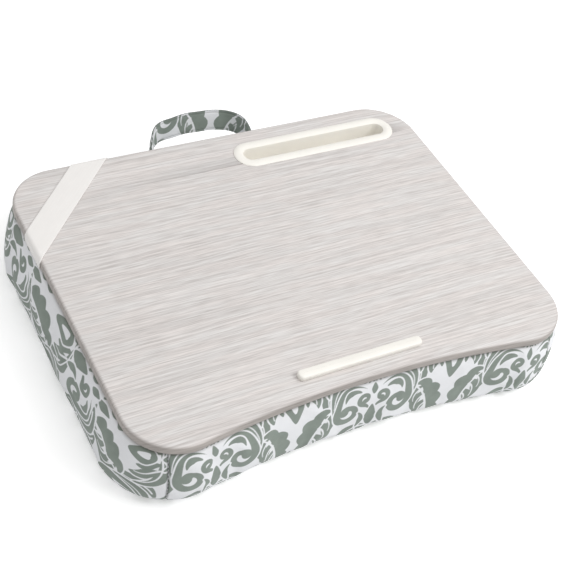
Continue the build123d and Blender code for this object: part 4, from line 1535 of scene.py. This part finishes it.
class TRAY_OT_stage(bpy.types.Operator):
    """Sets the floor, the lamps, the even light and the camera"""

    bl_idname = "tray.stage"
    bl_label = "Stage"

    def execute(self, context):
        scene = context.scene
        look = scene.tray_stage
        half, drop = 6.0, 0.3 * mm
        corners = np.array([(-half, -half), (half, -half), (half, half), (-half, half)])
        corners = np.column_stack([corners, np.full(4, -drop)])
        floor = make_piece("floor", corners, [np.arange(4)[None, :]], studio_floor(tuple(look.floor)))
        self.lamp(scene, "key", look.key_power, size=1.4, place=(1.22, -0.96, 1.73))
        self.lamp(scene, "fill", look.fill_power, size=1.8, place=(-0.2, 0.3, 1.9))
        self.light_sky(scene, look.sky)
        self.place_camera(scene, look)
        scene.view_settings.view_transform = "Standard"
        return {"FINISHED"}

    def lamp(self, scene, name, power, size, place):
        """A square area lamp that looks at the tray."""
        data = configured(bpy.data.lights.new(name, "AREA"), energy=power, size=size)
        aim = Vector((0, 0, 0.05)) - Vector(place)
        lamp = configured(
            bpy.data.objects.new(name, data), location=place, rotation_mode="QUATERNION",
            rotation_quaternion=aim.to_track_quat("-Z", "Y"),
        )
        scene.collection.objects.link(lamp)

    def light_sky(self, scene, strength):
        """Even light from all round, which the camera sees as plain white."""
        world = bpy.data.worlds.new("even_light")
        world.use_nodes = True
        tree = world.node_tree
        tree.nodes.clear()
        direct = seen_by(tree, "Is Camera Ray", "Is Transmission Ray")
        glow = node(tree, "MapRange", {"Value": direct, "To Min": strength})
        sky = node(tree, "Background", {"Color": (1.0, 1.0, 1.0), "Strength": glow})
        node(tree, "OutputWorld", {"Surface": sky})
        scene.world = world

    def place_camera(self, scene, look):
        """Camera at a distance from its aim, turned by yaw, pitch and its own roll."""
        back = Vector((
            sin(look.yaw) * cos(look.pitch), -cos(look.yaw) * cos(look.pitch), sin(look.pitch),
        ))
        level_right = Vector((cos(look.yaw), sin(look.yaw), 0))
        level_up = back.cross(level_right)
        right = level_right * cos(look.roll) + level_up * sin(look.roll)
        up = level_up * cos(look.roll) - level_right * sin(look.roll)
        sensor = 36.0
        data = configured(
            bpy.data.cameras.new("camera"), sensor_width=sensor, clip_start=0.01,
            lens=look.focal_pixels / image_side * sensor,
        )
        camera = bpy.data.objects.new("camera", data)
        turned = Matrix((right, up, back)).transposed().to_4x4()
        camera.matrix_world = Matrix.Translation(Vector(look.aim) + back * look.distance) @ turned
        scene.collection.objects.link(camera)
        scene.camera = camera


operators = (
    TRAY_OT_stage,
    TRAY_OT_board_film,
    TRAY_OT_slot_insert,
    TRAY_OT_device_ledge,
    TRAY_OT_corner_strap,
    TRAY_OT_cushion_walls,
    TRAY_OT_cushion_bottom,
    TRAY_OT_corner_stitches,
    TRAY_OT_bead_bags,
    TRAY_OT_handle,
    TRAY_OT_carried_parts,
)


class TRAY_PT_sidebar(bpy.types.Panel):
    """Lists the tray's sizes and the operators that make its pieces"""

    bl_idname = "TRAY_PT_sidebar"
    bl_label = "Lap tray"
    bl_space_type = "VIEW_3D"
    bl_region_type = "UI"
    bl_category = "Lap tray"

    def draw(self, context):
        for operator in operators:
            self.layout.operator(operator.bl_idname)
        for key, group in groups.items():
            box = self.layout.box()
            box.label(text=group.__doc__.splitlines()[0])
            for name in group.__annotations__:
                box.prop(getattr(context.scene, key), name)


def register():
    for group in groups.values():
        bpy.utils.register_class(group)
    for key, group in groups.items():
        setattr(bpy.types.Scene, key, PointerProperty(type=group))
    for operator in operators:
        bpy.utils.register_class(operator)
    bpy.utils.register_class(TRAY_PT_sidebar)


def unregister():
    bpy.utils.unregister_class(TRAY_PT_sidebar)
    for operator in reversed(operators):
        bpy.utils.unregister_class(operator)
    for key in groups:
        delattr(bpy.types.Scene, key)
    for group in groups.values():
        bpy.utils.unregister_class(group)


def main():
    register()
    for operator in operators:
        family, name = operator.bl_idname.split(".")
        getattr(getattr(bpy.ops, family), name)()


if __name__ == "__main__":
    main()
